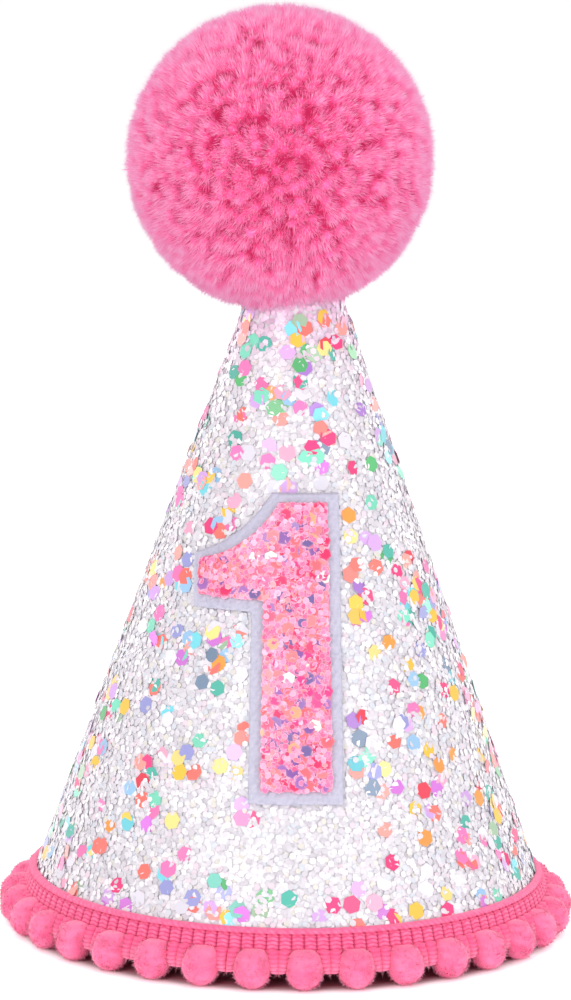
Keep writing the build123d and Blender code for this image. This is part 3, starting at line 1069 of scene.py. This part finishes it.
# %% Loops
BALL_RADIUS = (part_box(BALLS[0])[1][2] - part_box(BALLS[0])[0][2]) / 2
BALL_LOW = np.array([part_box(ball)[0] for ball in BALLS])
BALL_HIGH = np.array([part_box(ball)[1] for ball in BALLS])
BALL_CENTRES = (BALL_LOW + BALL_HIGH) / 2
RING_RADIUS = float(np.hypot(BALL_CENTRES[:, 0], BALL_CENTRES[:, 1]).mean())
LOOP_TOP_WIDTH, LOOP_FOOT_WIDTH = 1.2 * MM, 0.86 * MM
LOOP_STEPS, LOOP_SIDES = 24, 13
LOOP_HAIRS = 2600


def loop_stitch(z):
    """0 between two rows of stitches and 1 in the middle of a row: |sin(pi z / pitch)|."""
    return np.abs(np.sin(pi * z / STITCH_PITCH))


def gap_loops():
    """Every loop as rings: radius (r1 + (r2 - r1) v) (1 + s |sin(pi z / pitch)|), foot rounded."""
    middle = BALL_PHASE + (np.arange(len(BALLS)) + 0.5) * 2 * pi / len(BALLS)
    middle = np.repeat(middle, 2)
    side = np.tile([-1.0, 1.0], len(BALLS))
    v = np.linspace(0, 1, LOOP_STEPS)[None]
    foot_z, top_z = BALL_RADIUS - 0.6 * MM, TAPE_LOW_Z + 0.5 * MM
    z = foot_z + (top_z - foot_z) * v
    foot_ring, top_ring = RING_RADIUS - 0.2 * MM, wall(TAPE_LOW_Z, COVER_THICKNESS + 1.0 * MM)
    ring = foot_ring + (top_ring - foot_ring) * v + 0.45 * MM * np.sin(pi * v)
    width = LOOP_FOOT_WIDTH + (LOOP_TOP_WIDTH - LOOP_FOOT_WIDTH) * v
    rounded = np.sqrt(np.clip(1 - (1 - np.clip(v / 0.14, 0, 1)) ** 2, 0.03, 1))
    width = width * rounded * (0.94 + 0.12 * np.sin(pi * v) + 0.16 * loop_stitch(z))
    angle = middle[:, None] + side[:, None] * width * 0.93 / ring
    path = np.stack([ring * np.sin(angle), -ring * np.cos(angle), np.broadcast_to(z, angle.shape)], -1)
    turn = np.linspace(0, 2 * pi, LOOP_SIDES, endpoint=False)
    out = np.stack([np.sin(angle), -np.cos(angle), 0 * angle], -1)
    across = np.stack([np.cos(angle), np.sin(angle), 0 * angle], -1)
    groove = 1 + 0.07 * np.cos(4 * turn + np.arange(len(middle))[:, None] * 1.7)
    reach = width[..., None] * groove[:, None]
    sideways = (reach * np.cos(turn))[..., None] * across[:, :, None]
    return path[:, :, None] + sideways + (reach * np.sin(turn))[..., None] * out[:, :, None]


def many(surfaces):
    """Points, faces and chart of several ring surfaces of the same size, as one mesh."""
    points, faces, chart = [], [], []
    first = 0
    for rings in surfaces:
        item, item_faces, item_chart = ring_surface(rings)
        points.append(item)
        faces.append([face + first for face in item_faces])
        chart.append(item_chart.reshape(-1, 2))
        first += len(item)
    quads = np.concatenate([item[0] for item in faces])
    fans = np.concatenate([item[1] for item in faces])
    corner_count = quads.shape[1] * len(faces[0][0])
    chart = np.concatenate([item[:corner_count] for item in chart] + [item[corner_count:] for item in chart])
    return np.concatenate(points), [quads, fans], chart


loop_points, loop_faces, loop_chart = many(gap_loops())
loop_grain = ripple(loop_points, 0.7 * MM, 63)
under = np.clip((loop_points[:, 2] - BALL_RADIUS) / (TAPE_LOW_Z - BALL_RADIUS), 0, 1)
loop_shade = mix(paint(255, 138, 176), paint(246, 98, 146), under + 0.25 * loop_grain)
# Darker between the rows of stitches: a painted shade.
loop_shade = mix(loop_shade, BRAID_PAINTED_SHADE, 0.5 * (1 - loop_stitch(loop_points[:, 2])) ** 2)
draw = np.random.default_rng(64)
near_foot = np.flatnonzero(loop_points[:, 2] < BALL_RADIUS + 1.6 * MM)
choice = draw.choice(near_foot, LOOP_HAIRS)
drop = draw.normal(0, 0.35, (LOOP_HAIRS, 3)) + [0, 0, -0.75]
drop = drop + wall_frame(np.arctan2(loop_points[choice, 0], -loop_points[choice, 1]))[2] * 0.35
loop_tips = loop_points[choice] + drop * draw.uniform(0.3, 1.1, LOOP_HAIRS)[:, None] * MM
loops = furry_object(
    "fringe_loops",
    (loop_points, loop_faces, loop_shade, loop_chart),
    (loop_points[choice], loop_tips),
    0.1 * MM,
    65,
    (loop_shade[choice], paint(255, 206, 222)),
    draw.random(LOOP_HAIRS),
    knit,
)
place(loops, "hat", "braid_yarn", "trim_legs")

# %% [markdown]
# ## Fringe balls
# The balls are cut chenille: soft, nearly smooth, and a little lighter than the braid. Each is
# a sphere, drawn up slightly where its core thread leaves at the top, with low waves over it
# and a short fur of fibres. The same function makes every ball, with its own seed.

# %% Balls
BALL_ROWS, BALL_COLUMNS = 26, 40
BALL_HAIRS = 1060
TUCK_IN, TUCK_UP = 1.5 * MM, 0.6 * MM
SHOULDER = 0.55
BALL_LIGHT, BALL_SHADED_PINK = paint(255, 130, 172), paint(240, 86, 138)
ball_yarn = yarn_material("ball_chenille", 0.88, 0.45, (1, 0.78, 0.88, 1), 0.45, 0.2)


def ball_shape(unit, reach, inward):
    """Place of a direction: reach times it, the upper half squared off sideways by sin^-0.55 of
    the angle from its top, and that top drawn up and in against the braid."""
    flat = np.hypot(unit[..., 0], unit[..., 1]).clip(0.02, 1)
    shoulder = np.where(unit[..., 2] > 0, flat**-SHOULDER, 1.0)
    squared = unit * np.stack([shoulder, shoulder, np.ones_like(flat)], -1)
    tuck = np.clip(unit[..., 2:] - 0.35, 0, 1) ** 1.2
    return squared * reach[..., None] + tuck * (inward * TUCK_IN + np.array([0, 0, TUCK_UP]))


def fringe_ball(name, node, centre, seed):
    """A ball: r = R (1 + waves) in the shape above, with short hairs swept over it."""
    draw = np.random.default_rng(seed)
    steep = (np.arange(BALL_ROWS) + 0.5) / BALL_ROWS * pi
    round_it = np.linspace(0, 2 * pi, BALL_COLUMNS, endpoint=False)
    steep, round_it = np.meshgrid(steep, round_it, indexing="ij")
    unit = np.stack(
        [np.sin(steep) * np.cos(round_it), np.sin(steep) * np.sin(round_it), np.cos(steep)], -1
    )
    bands = ripple(unit * [1, 1, 3.2], 1.1, seed) * 0.014
    lumps = ripple(unit, 1.3, seed + 1) * 0.02
    inward = -centre * [1, 1, 0] / np.hypot(centre[0], centre[1])
    rings = centre + ball_shape(unit, BALL_RADIUS * (0.965 + bands + lumps), inward)
    points, faces, chart = ring_surface(rings)
    # Lighter on the crests of the waves and on the top, darker in the hollows and underneath: painted light
    # and painted shade.
    depth = (bands + lumps).ravel() / 0.04
    top_light = np.append(unit[..., 2].ravel(), [1.0, -1.0])
    depth = np.append(depth, [0, 0])
    shade = mix(BALL_SHADED_PINK, BALL_LIGHT, 0.62 + 0.5 * depth + 0.12 * top_light)
    direction = unit_length(draw.normal(size=(BALL_HAIRS, 3)))
    roots = centre + ball_shape(direction, np.full(BALL_HAIRS, BALL_RADIUS * 0.94), inward)
    swept = unit_length(direction + draw.normal(0, 0.8, (BALL_HAIRS, 3)))
    tips = roots + swept * draw.uniform(0.45, 1.0, BALL_HAIRS)[:, None] * MM
    tips[:, 2] = np.maximum(tips[:, 2], 0.05 * MM)
    tone = draw.random(BALL_HAIRS)
    root_shade = mix(paint(226, 62, 118), BALL_LIGHT, 0.2 + 0.6 * tone)
    tip_shade = mix(BALL_LIGHT, paint(255, 196, 218), 0.1 + 0.8 * tone)
    surface = (points, faces, shade, chart * [1, 0.9] + [0, 0.04])
    ends, shades = (roots, tips), (root_shade, tip_shade)
    ball = furry_object(name, surface, ends, 0.15 * MM, seed + 2, shades, tone, ball_yarn, 0.5)
    place(ball, "hat", "ball_yarn", node)


for number, (node, centre) in enumerate(zip(BALLS, BALL_CENTRES)):
    fringe_ball(node.replace("trim", "fringe"), node, centre, 700 + 5 * number)
print("made", len(BALLS), "fringe balls")

# %% [markdown]
# ## Yarn pom-pom
# A pom-pom is hundreds of cut yarn ends, all tied in the middle. Each end has frayed into a
# small round tuft, with shaded hollows between the tufts. We spread tufts evenly over the ball,
# and let each have its own height and lean. The core of the ball is one closed surface that
# bulges under every tuft; its colour is painted darker the deeper it lies, a painted shade in
# the hollows. It goes in at the bottom, where the tip of the cone enters.

# %% Core of the pom-pom
POM_LOW, POM_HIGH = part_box("pompom")
POM_RADIUS = (POM_HIGH[0] - POM_LOW[0]) / 2
POM_CENTRE = np.array([(POM_LOW[0] + POM_HIGH[0]) / 2, 0.0, POM_HIGH[2] - POM_RADIUS])
TUFT_COUNT = 1750
TUFT_REACH = 1.66 * MM
DOME_FALL = 0.4 / MM
CORE_DEPTH = 1.0 * MM
CREST_IN = 3 * MM
CORE_ROWS, CORE_COLUMNS = 150, 250
SOCKET_ROOM = 1.0 * MM
MOUTH_DEPTH = 2.5 * MM
SOCKET_TOP = TIP_Z + 0.6 * MM
YARN_HOLLOW_SHADE, YARN_RED = paint(206, 48, 106), paint(238, 86, 148)
YARN_MIDDLE, YARN_LIGHT = paint(255, 122, 184), paint(255, 198, 232)


def spread_on_ball(count, jitter, seed):
    """Even directions: the height falls in equal steps and the turn is by the golden angle."""
    draw = np.random.default_rng(seed)
    height = 1 - 2 * (np.arange(count) + 0.5) / count
    turn = np.arange(count) * pi * (3 - sqrt(5))
    flat = np.sqrt(1 - height * height)
    unit = np.stack([flat * np.cos(turn), flat * np.sin(turn), height], -1)
    return unit_length(unit + draw.normal(0, jitter, unit.shape))


def out_of_cone(points, room):
    """Push points sideways, away from the cone's axis, until they clear its wall by room."""
    reach = np.hypot(points[:, 0], points[:, 1])
    least = wall(points[:, 2], COVER_THICKNESS) + room
    grow = np.maximum(least / np.maximum(reach, 1e-6), 1)
    return points * np.stack([grow, grow, np.ones_like(grow)], -1)


def on_ball(steep, turn, radius=POM_RADIUS):
    """Point at an angle from straight down and a turn about the upright line through the centre."""
    unit = np.stack(
        [np.sin(steep) * np.cos(turn), np.sin(steep) * np.sin(turn), -np.cos(steep)], -1
    )
    return POM_CENTRE + np.reshape(radius, np.shape(radius) + (1,)) * unit, unit


tuft_unit = spread_on_ball(TUFT_COUNT, 0.022, 81)
draw = np.random.default_rng(82)
tuft_height = POM_RADIUS - 0.15 * MM + draw.normal(0, 0.17 * MM, TUFT_COUNT).clip(-0.5 * MM, 0.4 * MM)
middle_of_tuft = POM_CENTRE + tuft_unit * tuft_height[:, None]
outside_cone = np.hypot(middle_of_tuft[:, 0], middle_of_tuft[:, 1]) > wall(
    middle_of_tuft[:, 2], COVER_THICKNESS + 0.2 * MM
)
in_the_open = outside_cone | (middle_of_tuft[:, 2] > TIP_Z)
tuft_unit, tuft_height = tuft_unit[in_the_open], tuft_height[in_the_open]
print("pom-pom has", len(tuft_unit), "tufts")


def core_height(unit):
    """Distance from the centre: the greatest of h - k d^2 over all tufts, d being the distance.

    As d^2 is 2 R^2 (1 - u . t) on a ball, every tuft gives a plane in u, so the whole field is
    one matrix product and a maximum.
    """
    flat = unit.reshape(-1, 3)
    pull = 2 * DOME_FALL * POM_RADIUS**2
    field = flat @ (tuft_unit * pull).T + (tuft_height - pull)
    return field.max(1).reshape(unit.shape[:-1]) - CORE_DEPTH


def pompom_core():
    """Rows of rings: down the socket from its ceiling, then over the ball from mouth to top.

    The mouth is where the ball meets the socket; halving its range 30 times finds the angle.
    """
    turn = np.linspace(0, 2 * pi, CORE_COLUMNS, endpoint=False)
    low, high = np.zeros(CORE_COLUMNS), np.full(CORE_COLUMNS, pi / 3)
    for _ in range(30):
        middle = (low + high) / 2
        spot, _ = on_ball(middle, turn, POM_RADIUS - MOUTH_DEPTH)
        hit = np.hypot(spot[:, 0], spot[:, 1]) < wall(spot[:, 2], COVER_THICKNESS) + SOCKET_ROOM
        low, high = np.where(hit, middle, low), np.where(hit, high, middle)
    share = np.linspace(0, 1, CORE_ROWS)[:, None]
    steep = low + (pi - 0.5 / CORE_ROWS - low) * share
    _, unit = on_ball(steep, turn)
    grow = np.clip(share * CORE_ROWS / 7, 0, 1)
    radius = (POM_RADIUS - MOUTH_DEPTH) * (1 - grow) + core_height(unit) * grow
    outer, _ = on_ball(steep, turn + 0 * steep, radius)
    mouth = outer[0]
    bearing = np.arctan2(mouth[:, 1], mouth[:, 0])
    rise = np.linspace(1, 0, 14, endpoint=False)[:, None]
    z = mouth[:, 2] + (SOCKET_TOP - mouth[:, 2]) * rise
    reach = wall(z, COVER_THICKNESS) + SOCKET_ROOM
    socket = np.stack([reach * np.cos(bearing), reach * np.sin(bearing), z], -1)
    rings = np.concatenate([socket, outer])
    crest = np.concatenate([np.full(socket.shape[:2], -CREST_IN), radius - (POM_RADIUS - CORE_DEPTH)])
    return rings, crest


core_rings, core_crest = pompom_core()
points, faces, chart = ring_surface(core_rings)
crest = np.append(core_crest.ravel(), [-CREST_IN, 0])
# The core is painted darker the lower it lies under the tufts' crests, and darkest in the socket: a painted
# shade.
tone = 0.95 + crest / MM + 0.12 * ripple(points, 0.6 * MM, 83)
shade = np.where(
    (tone < 0.5)[:, None], mix(YARN_HOLLOW_SHADE, YARN_RED, tone * 2), mix(YARN_RED, YARN_MIDDLE, tone * 2 - 1)
)


def let_lean(piece, slot, *nodes):
    """Let a piece stand for its CAD nodes, and bake its placing into its mesh."""
    dress(piece, nodes)
    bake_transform(piece)


pom_yarn = yarn_material("brushed_yarn", 0.9, 0.12, (1, 0.78, 0.9, 1))
core = new_object("pompom_core", points, faces, pom_yarn, shade, chart)
let_lean(core, "pompom_yarn", "pompom")

# %% [markdown]
# The fluff itself is hair. In each tuft the hairs start close together and fan out, so their
# tips form a small dome, and all of them lean a little the same way, as brushed yarn does.
# Near the cone the hairs are pushed aside until they clear its wall. They are dealt out to
# several pieces, because one mesh of them all would be too heavy to keep whole. The hairs cast
# no shadow: real yarn lets most light through, and solid spikes would turn the ball dark. Their
# colour carries painted shade instead: darker at the roots, at the edges of each tuft and on
# lower tufts, lighter in the middles of the tufts.

# %% Hairs of the pom-pom
HAIRS_PER_TUFT = 108
HAIR_PIECES = 4
HAIR_WIDTH = 0.2 * MM
HAIR_TONES = 16
STRAY_SHARE, STRAY_WIDTH = 0.14, 0.1 * MM


def tuft_hairs(seed):
    """Roots, tips, tones and widths: root below with offset 0.7 o, tip on a dome with offset 1.2 o."""
    draw = np.random.default_rng(seed)
    tufts = len(tuft_unit)
    tuft = np.repeat(np.arange(tufts), HAIRS_PER_TUFT)
    unit = tuft_unit[tuft]
    side = unit_length(np.cross(unit, [0.3, 0.5, 0.81]))
    other = np.cross(unit, side)
    reach = 1.2 * np.sqrt(draw.random(len(tuft)))
    round_it = draw.uniform(0, 2 * pi, len(tuft))
    width = TUFT_REACH * draw.uniform(0.8, 1.2, tufts)[tuft] * reach
    offset = side * (width * np.cos(round_it))[:, None] + other * (width * np.sin(round_it))[:, None]
    place_of = POM_CENTRE + tuft_unit * POM_RADIUS
    flow = np.stack([ripple(place_of, 13 * MM, seed + k) for k in range(3)], -1) * 0.4
    flow = flow + draw.normal(0, 0.22, (tufts, 3))
    flow -= (flow * tuft_unit).sum(1, keepdims=True) * tuft_unit
    lean = flow[tuft] * MM
    height = tuft_height[tuft]
    root = POM_CENTRE + unit * (height - 2.0 * MM)[:, None] + 0.7 * offset
    rise = 0.75 * MM - 0.75 * MM * reach**2 + draw.normal(0, 0.2 * MM, len(tuft))
    stray = draw.random(len(tuft)) < STRAY_SHARE
    rise = rise + stray * draw.uniform(0.2, 1.0, len(tuft)) * MM
    tip = POM_CENTRE + unit * (height + rise)[:, None] + 1.2 * offset + lean
    tip = tip + draw.normal(0, 0.2 * MM, tip.shape)
    # The tone is painted light and shade: lower tufts and tuft edges darker, tuft middles lighter.
    depth = (height - tuft_height.mean()) / (0.17 * MM)
    tone = 0.47 + 0.05 * depth + 0.85 * (0.55 - reach**2) + draw.normal(0, 0.1, len(tuft))
    tone = tone + draw.normal(0, 0.09, tufts)[tuft]
    room = draw.uniform(0.25, 0.9, len(tuft)) * MM
    width = np.where(stray, STRAY_WIDTH, HAIR_WIDTH)
    return out_of_cone(root, room), out_of_cone(tip, room), np.clip(tone, 0, 0.999), width


hair_roots, hair_tips, hair_tone, hair_width = tuft_hairs(84)
hair_tone = (np.floor(hair_tone * HAIR_TONES) + 0.5) / HAIR_TONES
for part in range(HAIR_PIECES):
    pick = slice(part, None, HAIR_PIECES)
    points, faces = hairs(hair_roots[pick], hair_tips[pick], hair_width[pick], 85 + part)
    tone = hair_tone[pick]
    # Roots darker than tips: a painted shade deep in the fur.
    root_shade = mix(YARN_RED, YARN_MIDDLE, tone)
    tip_shade = mix(YARN_MIDDLE, YARN_LIGHT, tone * 1.15)
    shade = np.stack([root_shade] * 3 + [tip_shade], 1)
    chart = hair_chart(len(tone), tone, HAIR_TONES)
    fluff = new_object("pompom_fluff_%d" % (part + 1), points, [faces], pom_yarn, shade, chart)
    fluff.visible_shadow = False
    let_lean(fluff, "pompom_yarn")
print("pom-pom has", len(hair_tone), "hairs")

# %% [markdown]
# ## Felt lining and bare card
# Inside, the card is covered with thin white felt that stops on both sides of the glued lap.
# The card keeps its CAD shape, which is already right, and only gets a paper finish: a pale
# colour with faint fibres. The felt is a stretched sheet again.


# %% Finishes of paper and felt
def fibre_material(name, light, dark, rough, grain, relief_depth):
    """Matt material whose colour and relief both follow a fine noise in Object coordinates."""
    settings = {"Roughness": rough, "Specular IOR Level": 0.25}
    material, nodes, links, shader = new_material(name, settings)
    noise = add_relief(nodes, links, shader, grain, 5, 0.5, relief_depth)
    ramp = nodes.new("ShaderNodeValToRGB")
    low, high = ramp.color_ramp.elements
    low.position, high.position = 0.35, 0.65
    low.color, high.color = dark, light
    links.new(noise.outputs["Fac"], ramp.inputs["Fac"])
    links.new(ramp.outputs["Color"], shader.inputs["Base Color"])
    return material


def refinish(node, material):
    """Give a CAD node that still shows a new material in its own slots."""
    for slot in bpy.data.objects[node].material_slots:
        slot.material = material


paper = fibre_material("card_stock", paint(232, 229, 224), paint(214, 210, 204), 0.8, 1.2 * MM, 0.04 * MM)
refinish("card_cone", paper)
print("card has its paper finish")

# %% Felt lining
LINING_LOW, LINING_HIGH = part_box("felt_lining")
LAP_WIDTH = 10 * MM
LINING_ROOM = 0.03 * MM
LINING_HAIRS = 5200
LINING_ROWS = 44

lap_angle = LAP_WIDTH / RIM_RADIUS
lining_outer = -CARD_THICKNESS - LINING_ROOM
lining_rings = sleeve(
    lining_outer - LINING_THICKNESS + 0.1 * MM,
    lining_outer,
    LINING_LOW[2],
    LINING_HIGH[2],
    lap_angle,
    rows=LINING_ROWS,
    columns=181,
    bulge=lambda points: 0.035 * MM * ripple(points, 3.5 * MM, 91),
)
felt_points, felt_faces, felt_chart = ring_surface(lining_rings)
felt_tone = 0.5 + 0.5 * ripple(felt_points, 1.5 * MM, 92)
felt_shade = mix(paint(222, 220, 224), paint(240, 238, 240), felt_tone)
draw = np.random.default_rng(93)
choice = draw.integers(0, len(felt_points) - 2, LINING_HAIRS)
inward = -wall_frame(np.arctan2(felt_points[choice, 0], -felt_points[choice, 1]))[2]
lie = inward + draw.normal(0, 0.7, (LINING_HAIRS, 3))
lie -= np.minimum((lie * inward).sum(1, keepdims=True) - 0.25, 0) * inward
nap_roots = felt_points[choice]
nap_tips = nap_roots + lie * draw.uniform(0.12, 0.4, LINING_HAIRS)[:, None] * MM
on_inner = choice % (2 * LINING_ROWS) >= LINING_ROWS
lining = furry_object(
    "lining_sheet",
    (felt_points, felt_faces, felt_shade, felt_chart),
    (nap_roots[on_inner], nap_tips[on_inner]),
    0.07 * MM,
    94,
    (felt_shade[choice][on_inner], paint(246, 245, 248)),
    draw.random(on_inner.sum()),
    yarn_material("lining_felt", 0.92, 0.2, WHITE, 0.4, 0.5),
)
place(lining, "hat", "lining_felt", "felt_lining")

# %% [markdown]
# Two short slits for a chin strap go through the wall behind the braid, at the left and right.
# The card has them already. We take the same bars out of the cloth and the lining with a
# Boolean, applied at once, because a slit is cut through a finished sheet in real life too.

# %% Strap slits through cloth and lining
SLIT_WIDTH, SLIT_HEIGHT, SLIT_REACH = 6.5 * MM, 1.2 * MM, 6.4 * MM


def cut_slits(piece):
    """Take a flat bar at -X and at +X out of a sheet and keep the result as its mesh."""
    slit_z = (TAPE_LOW_Z + TAPE_HIGH) / 2
    corner = np.array([[x, y, z] for x in (-1, 1) for y in (-1, 1) for z in (-1, 1)]) / 2
    bar = corner * [SLIT_REACH, SLIT_WIDTH, SLIT_HEIGHT]
    bars = np.concatenate([bar + [side * wall(slit_z), 0, slit_z] for side in (-1, 1)])
    quads = np.array([[0, 1, 3, 2], [4, 6, 7, 5], [0, 4, 5, 1], [2, 3, 7, 6], [0, 2, 6, 4], [1, 5, 7, 3]])
    plain = bpy.data.materials.new("slit_bar")
    cutter = new_object("slit_bars", bars, [np.concatenate([quads, quads + 8])], plain, smooth=False)
    cut = piece.modifiers.new("slits", "BOOLEAN")
    cut.operation = "DIFFERENCE"
    cut.object = cutter
    cut.solver = "EXACT"
    shape = piece.evaluated_get(bpy.context.evaluated_depsgraph_get())
    result = bpy.data.meshes.new_from_object(shape)
    piece.modifiers.clear()
    piece.data = result
    bpy.data.objects.remove(cutter)
    bpy.data.materials.remove(plain)
    print("cut slits in", piece.name, "which now has", len(result.polygons), "faces")


cut_slits(glitter_backing)
cut_slits(lining)

# %% [markdown]
# ## Tie, washer and knot
# The pom-pom's own yarn ends hold it on: twisted together they go down through the cut tip and
# a felt washer, and end in a knot inside. A band of yarn binds them at the pom-pom. Each yarn
# is a tube along a curve: a helix for the twist and the band, a trefoil for the knot.

# %% Washer, twisted ends, knot and band
KNOT_LOW, KNOT_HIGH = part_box("tie_knot")
STRAND_LOW, STRAND_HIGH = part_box("tie_strands")
BAND_LOW, BAND_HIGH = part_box("tie_band")
WASHER_LOW, WASHER_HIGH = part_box("anchor_washer")
WASHER_HOLE = 1.25 * MM
PLY_RADIUS, PLY_HELIX = 0.52 * MM, 0.56 * MM
tie_material = yarn_material("tie_yarn", 0.88, 0.2, (1, 0.78, 0.9, 1), 0.5, 0.3)


def strand(path, radius, columns, ends="poles"):
    """A yarn along a path: a tube whose radius has three rounded plies that turn along it."""
    turn = np.linspace(0, 2 * pi, columns, endpoint=False)[None]
    along = np.arange(len(path))[:, None] * (2 * pi / len(path)) * round(len(path) / 9)
    lobes = 1 + 0.14 * np.abs(np.sin(1.5 * turn + along / 2)) - 0.07
    return tube(path, radius * lobes, columns, ends=ends)


def yarn_piece(name, surface, body, node, seed):
    """One piece of yarn with its colour, riding on a body for a CAD node."""
    points, faces, chart = surface
    shade = mix(YARN_RED, YARN_MIDDLE, 0.5 + 0.5 * ripple(points, 0.8 * MM, seed))
    place(new_object(name, points, faces, tie_material, shade, chart), body, "tie_yarn", node)


def helix(radius, low, high, turns, steps, phase=0.0):
    """Helix about the upright axis: angle p + 2 pi n v, height from low to high."""
    v = np.linspace(0, 1, steps)
    angle = phase + 2 * pi * turns * v
    return np.stack([radius * np.cos(angle), radius * np.sin(angle), low + (high - low) * v], -1)


def trefoil(middle, reach, steps=96):
    """Knot: x = sin t + 2 sin 2t, y = cos t - 2 cos 2t, z = -sin 3t, scaled to its reach."""
    t = np.linspace(0, 2 * pi, steps, endpoint=False)
    curve = np.stack([np.sin(t) + 2 * np.sin(2 * t), np.cos(t) - 2 * np.cos(2 * t), -np.sin(3 * t)], -1)
    return middle + curve * [reach / 3, reach / 3, reach]


strand_span = STRAND_LOW[2] - 0.6 * MM + PLY_RADIUS, STRAND_HIGH[2] - PLY_RADIUS
plies = [
    strand(helix(PLY_HELIX, strand_span[0], strand_span[1], 2.2, 60, 2 * pi * k / 3), PLY_RADIUS, 14)
    for k in range(3)
]
yarn_piece("tie_twist", many(plies), "tie", "tie_strands", 95)
knot_middle = (np.array(KNOT_LOW) + np.array(KNOT_HIGH)) / 2
knot = strand(trefoil(knot_middle, 1.22 * MM), 0.7 * MM, 14, "joined")
yarn_piece("yarn_knot", ring_surface(knot, "joined"), "tie", "tie_knot", 96)
coil = helix(2.65 * MM, BAND_LOW[2] + 0.7 * MM, BAND_HIGH[2] - 0.7 * MM, 3.4, 110)
yarn_piece("pompom_binding", ring_surface(strand(coil, 0.62 * MM, 14)), "pompom", "tie_band", 97)


def washer_rings(rows=20, columns=64):
    """Rounded bar bent to a ring: radius r + a sgn |cos|^0.5, height z + b sgn |sin|^0.5.

    Its outer edge leans with the cone's wall.
    """
    loop = np.linspace(0, 2 * pi, rows, endpoint=False)[:, None]
    turn = np.linspace(0, 2 * pi, columns, endpoint=False)[None]
    across = np.sign(np.cos(loop)) * np.abs(np.cos(loop)) ** 0.5
    lift = np.sign(np.sin(loop)) * np.abs(np.sin(loop)) ** 0.5
    z = (WASHER_LOW[2] + WASHER_HIGH[2]) / 2 + (WASHER_HIGH[2] - WASHER_LOW[2]) / 2 * lift
    outer = wall(z, -CARD_THICKNESS) - 0.03 * MM
    ring = (outer + WASHER_HOLE) / 2 + (outer - WASHER_HOLE) / 2 * across
    return np.stack([ring * np.cos(turn), ring * np.sin(turn), z + 0 * turn], -1)


points, faces, chart = ring_surface(washer_rings(), "joined")
fuzz = ripple(points, 0.6 * MM, 98)
points = points - (points - [0, 0, WASHER_LOW[2]]) * 0.004 * fuzz[:, None]
shade = mix(paint(224, 222, 226), paint(242, 240, 243), 0.5 + 0.5 * fuzz)
washer_felt = yarn_material("washer_felt", 0.92, 0.2, WHITE, 0.5, 0.4)
washer = new_object("felt_washer", points, faces, washer_felt, shade, chart)
place(washer, "hat", "washer_felt", "anchor_washer")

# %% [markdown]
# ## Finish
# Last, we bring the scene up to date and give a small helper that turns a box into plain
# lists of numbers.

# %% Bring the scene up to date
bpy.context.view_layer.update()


def plain(box):
    """A box as plain lists of numbers."""
    return [[float(value) for value in corner] for corner in box]
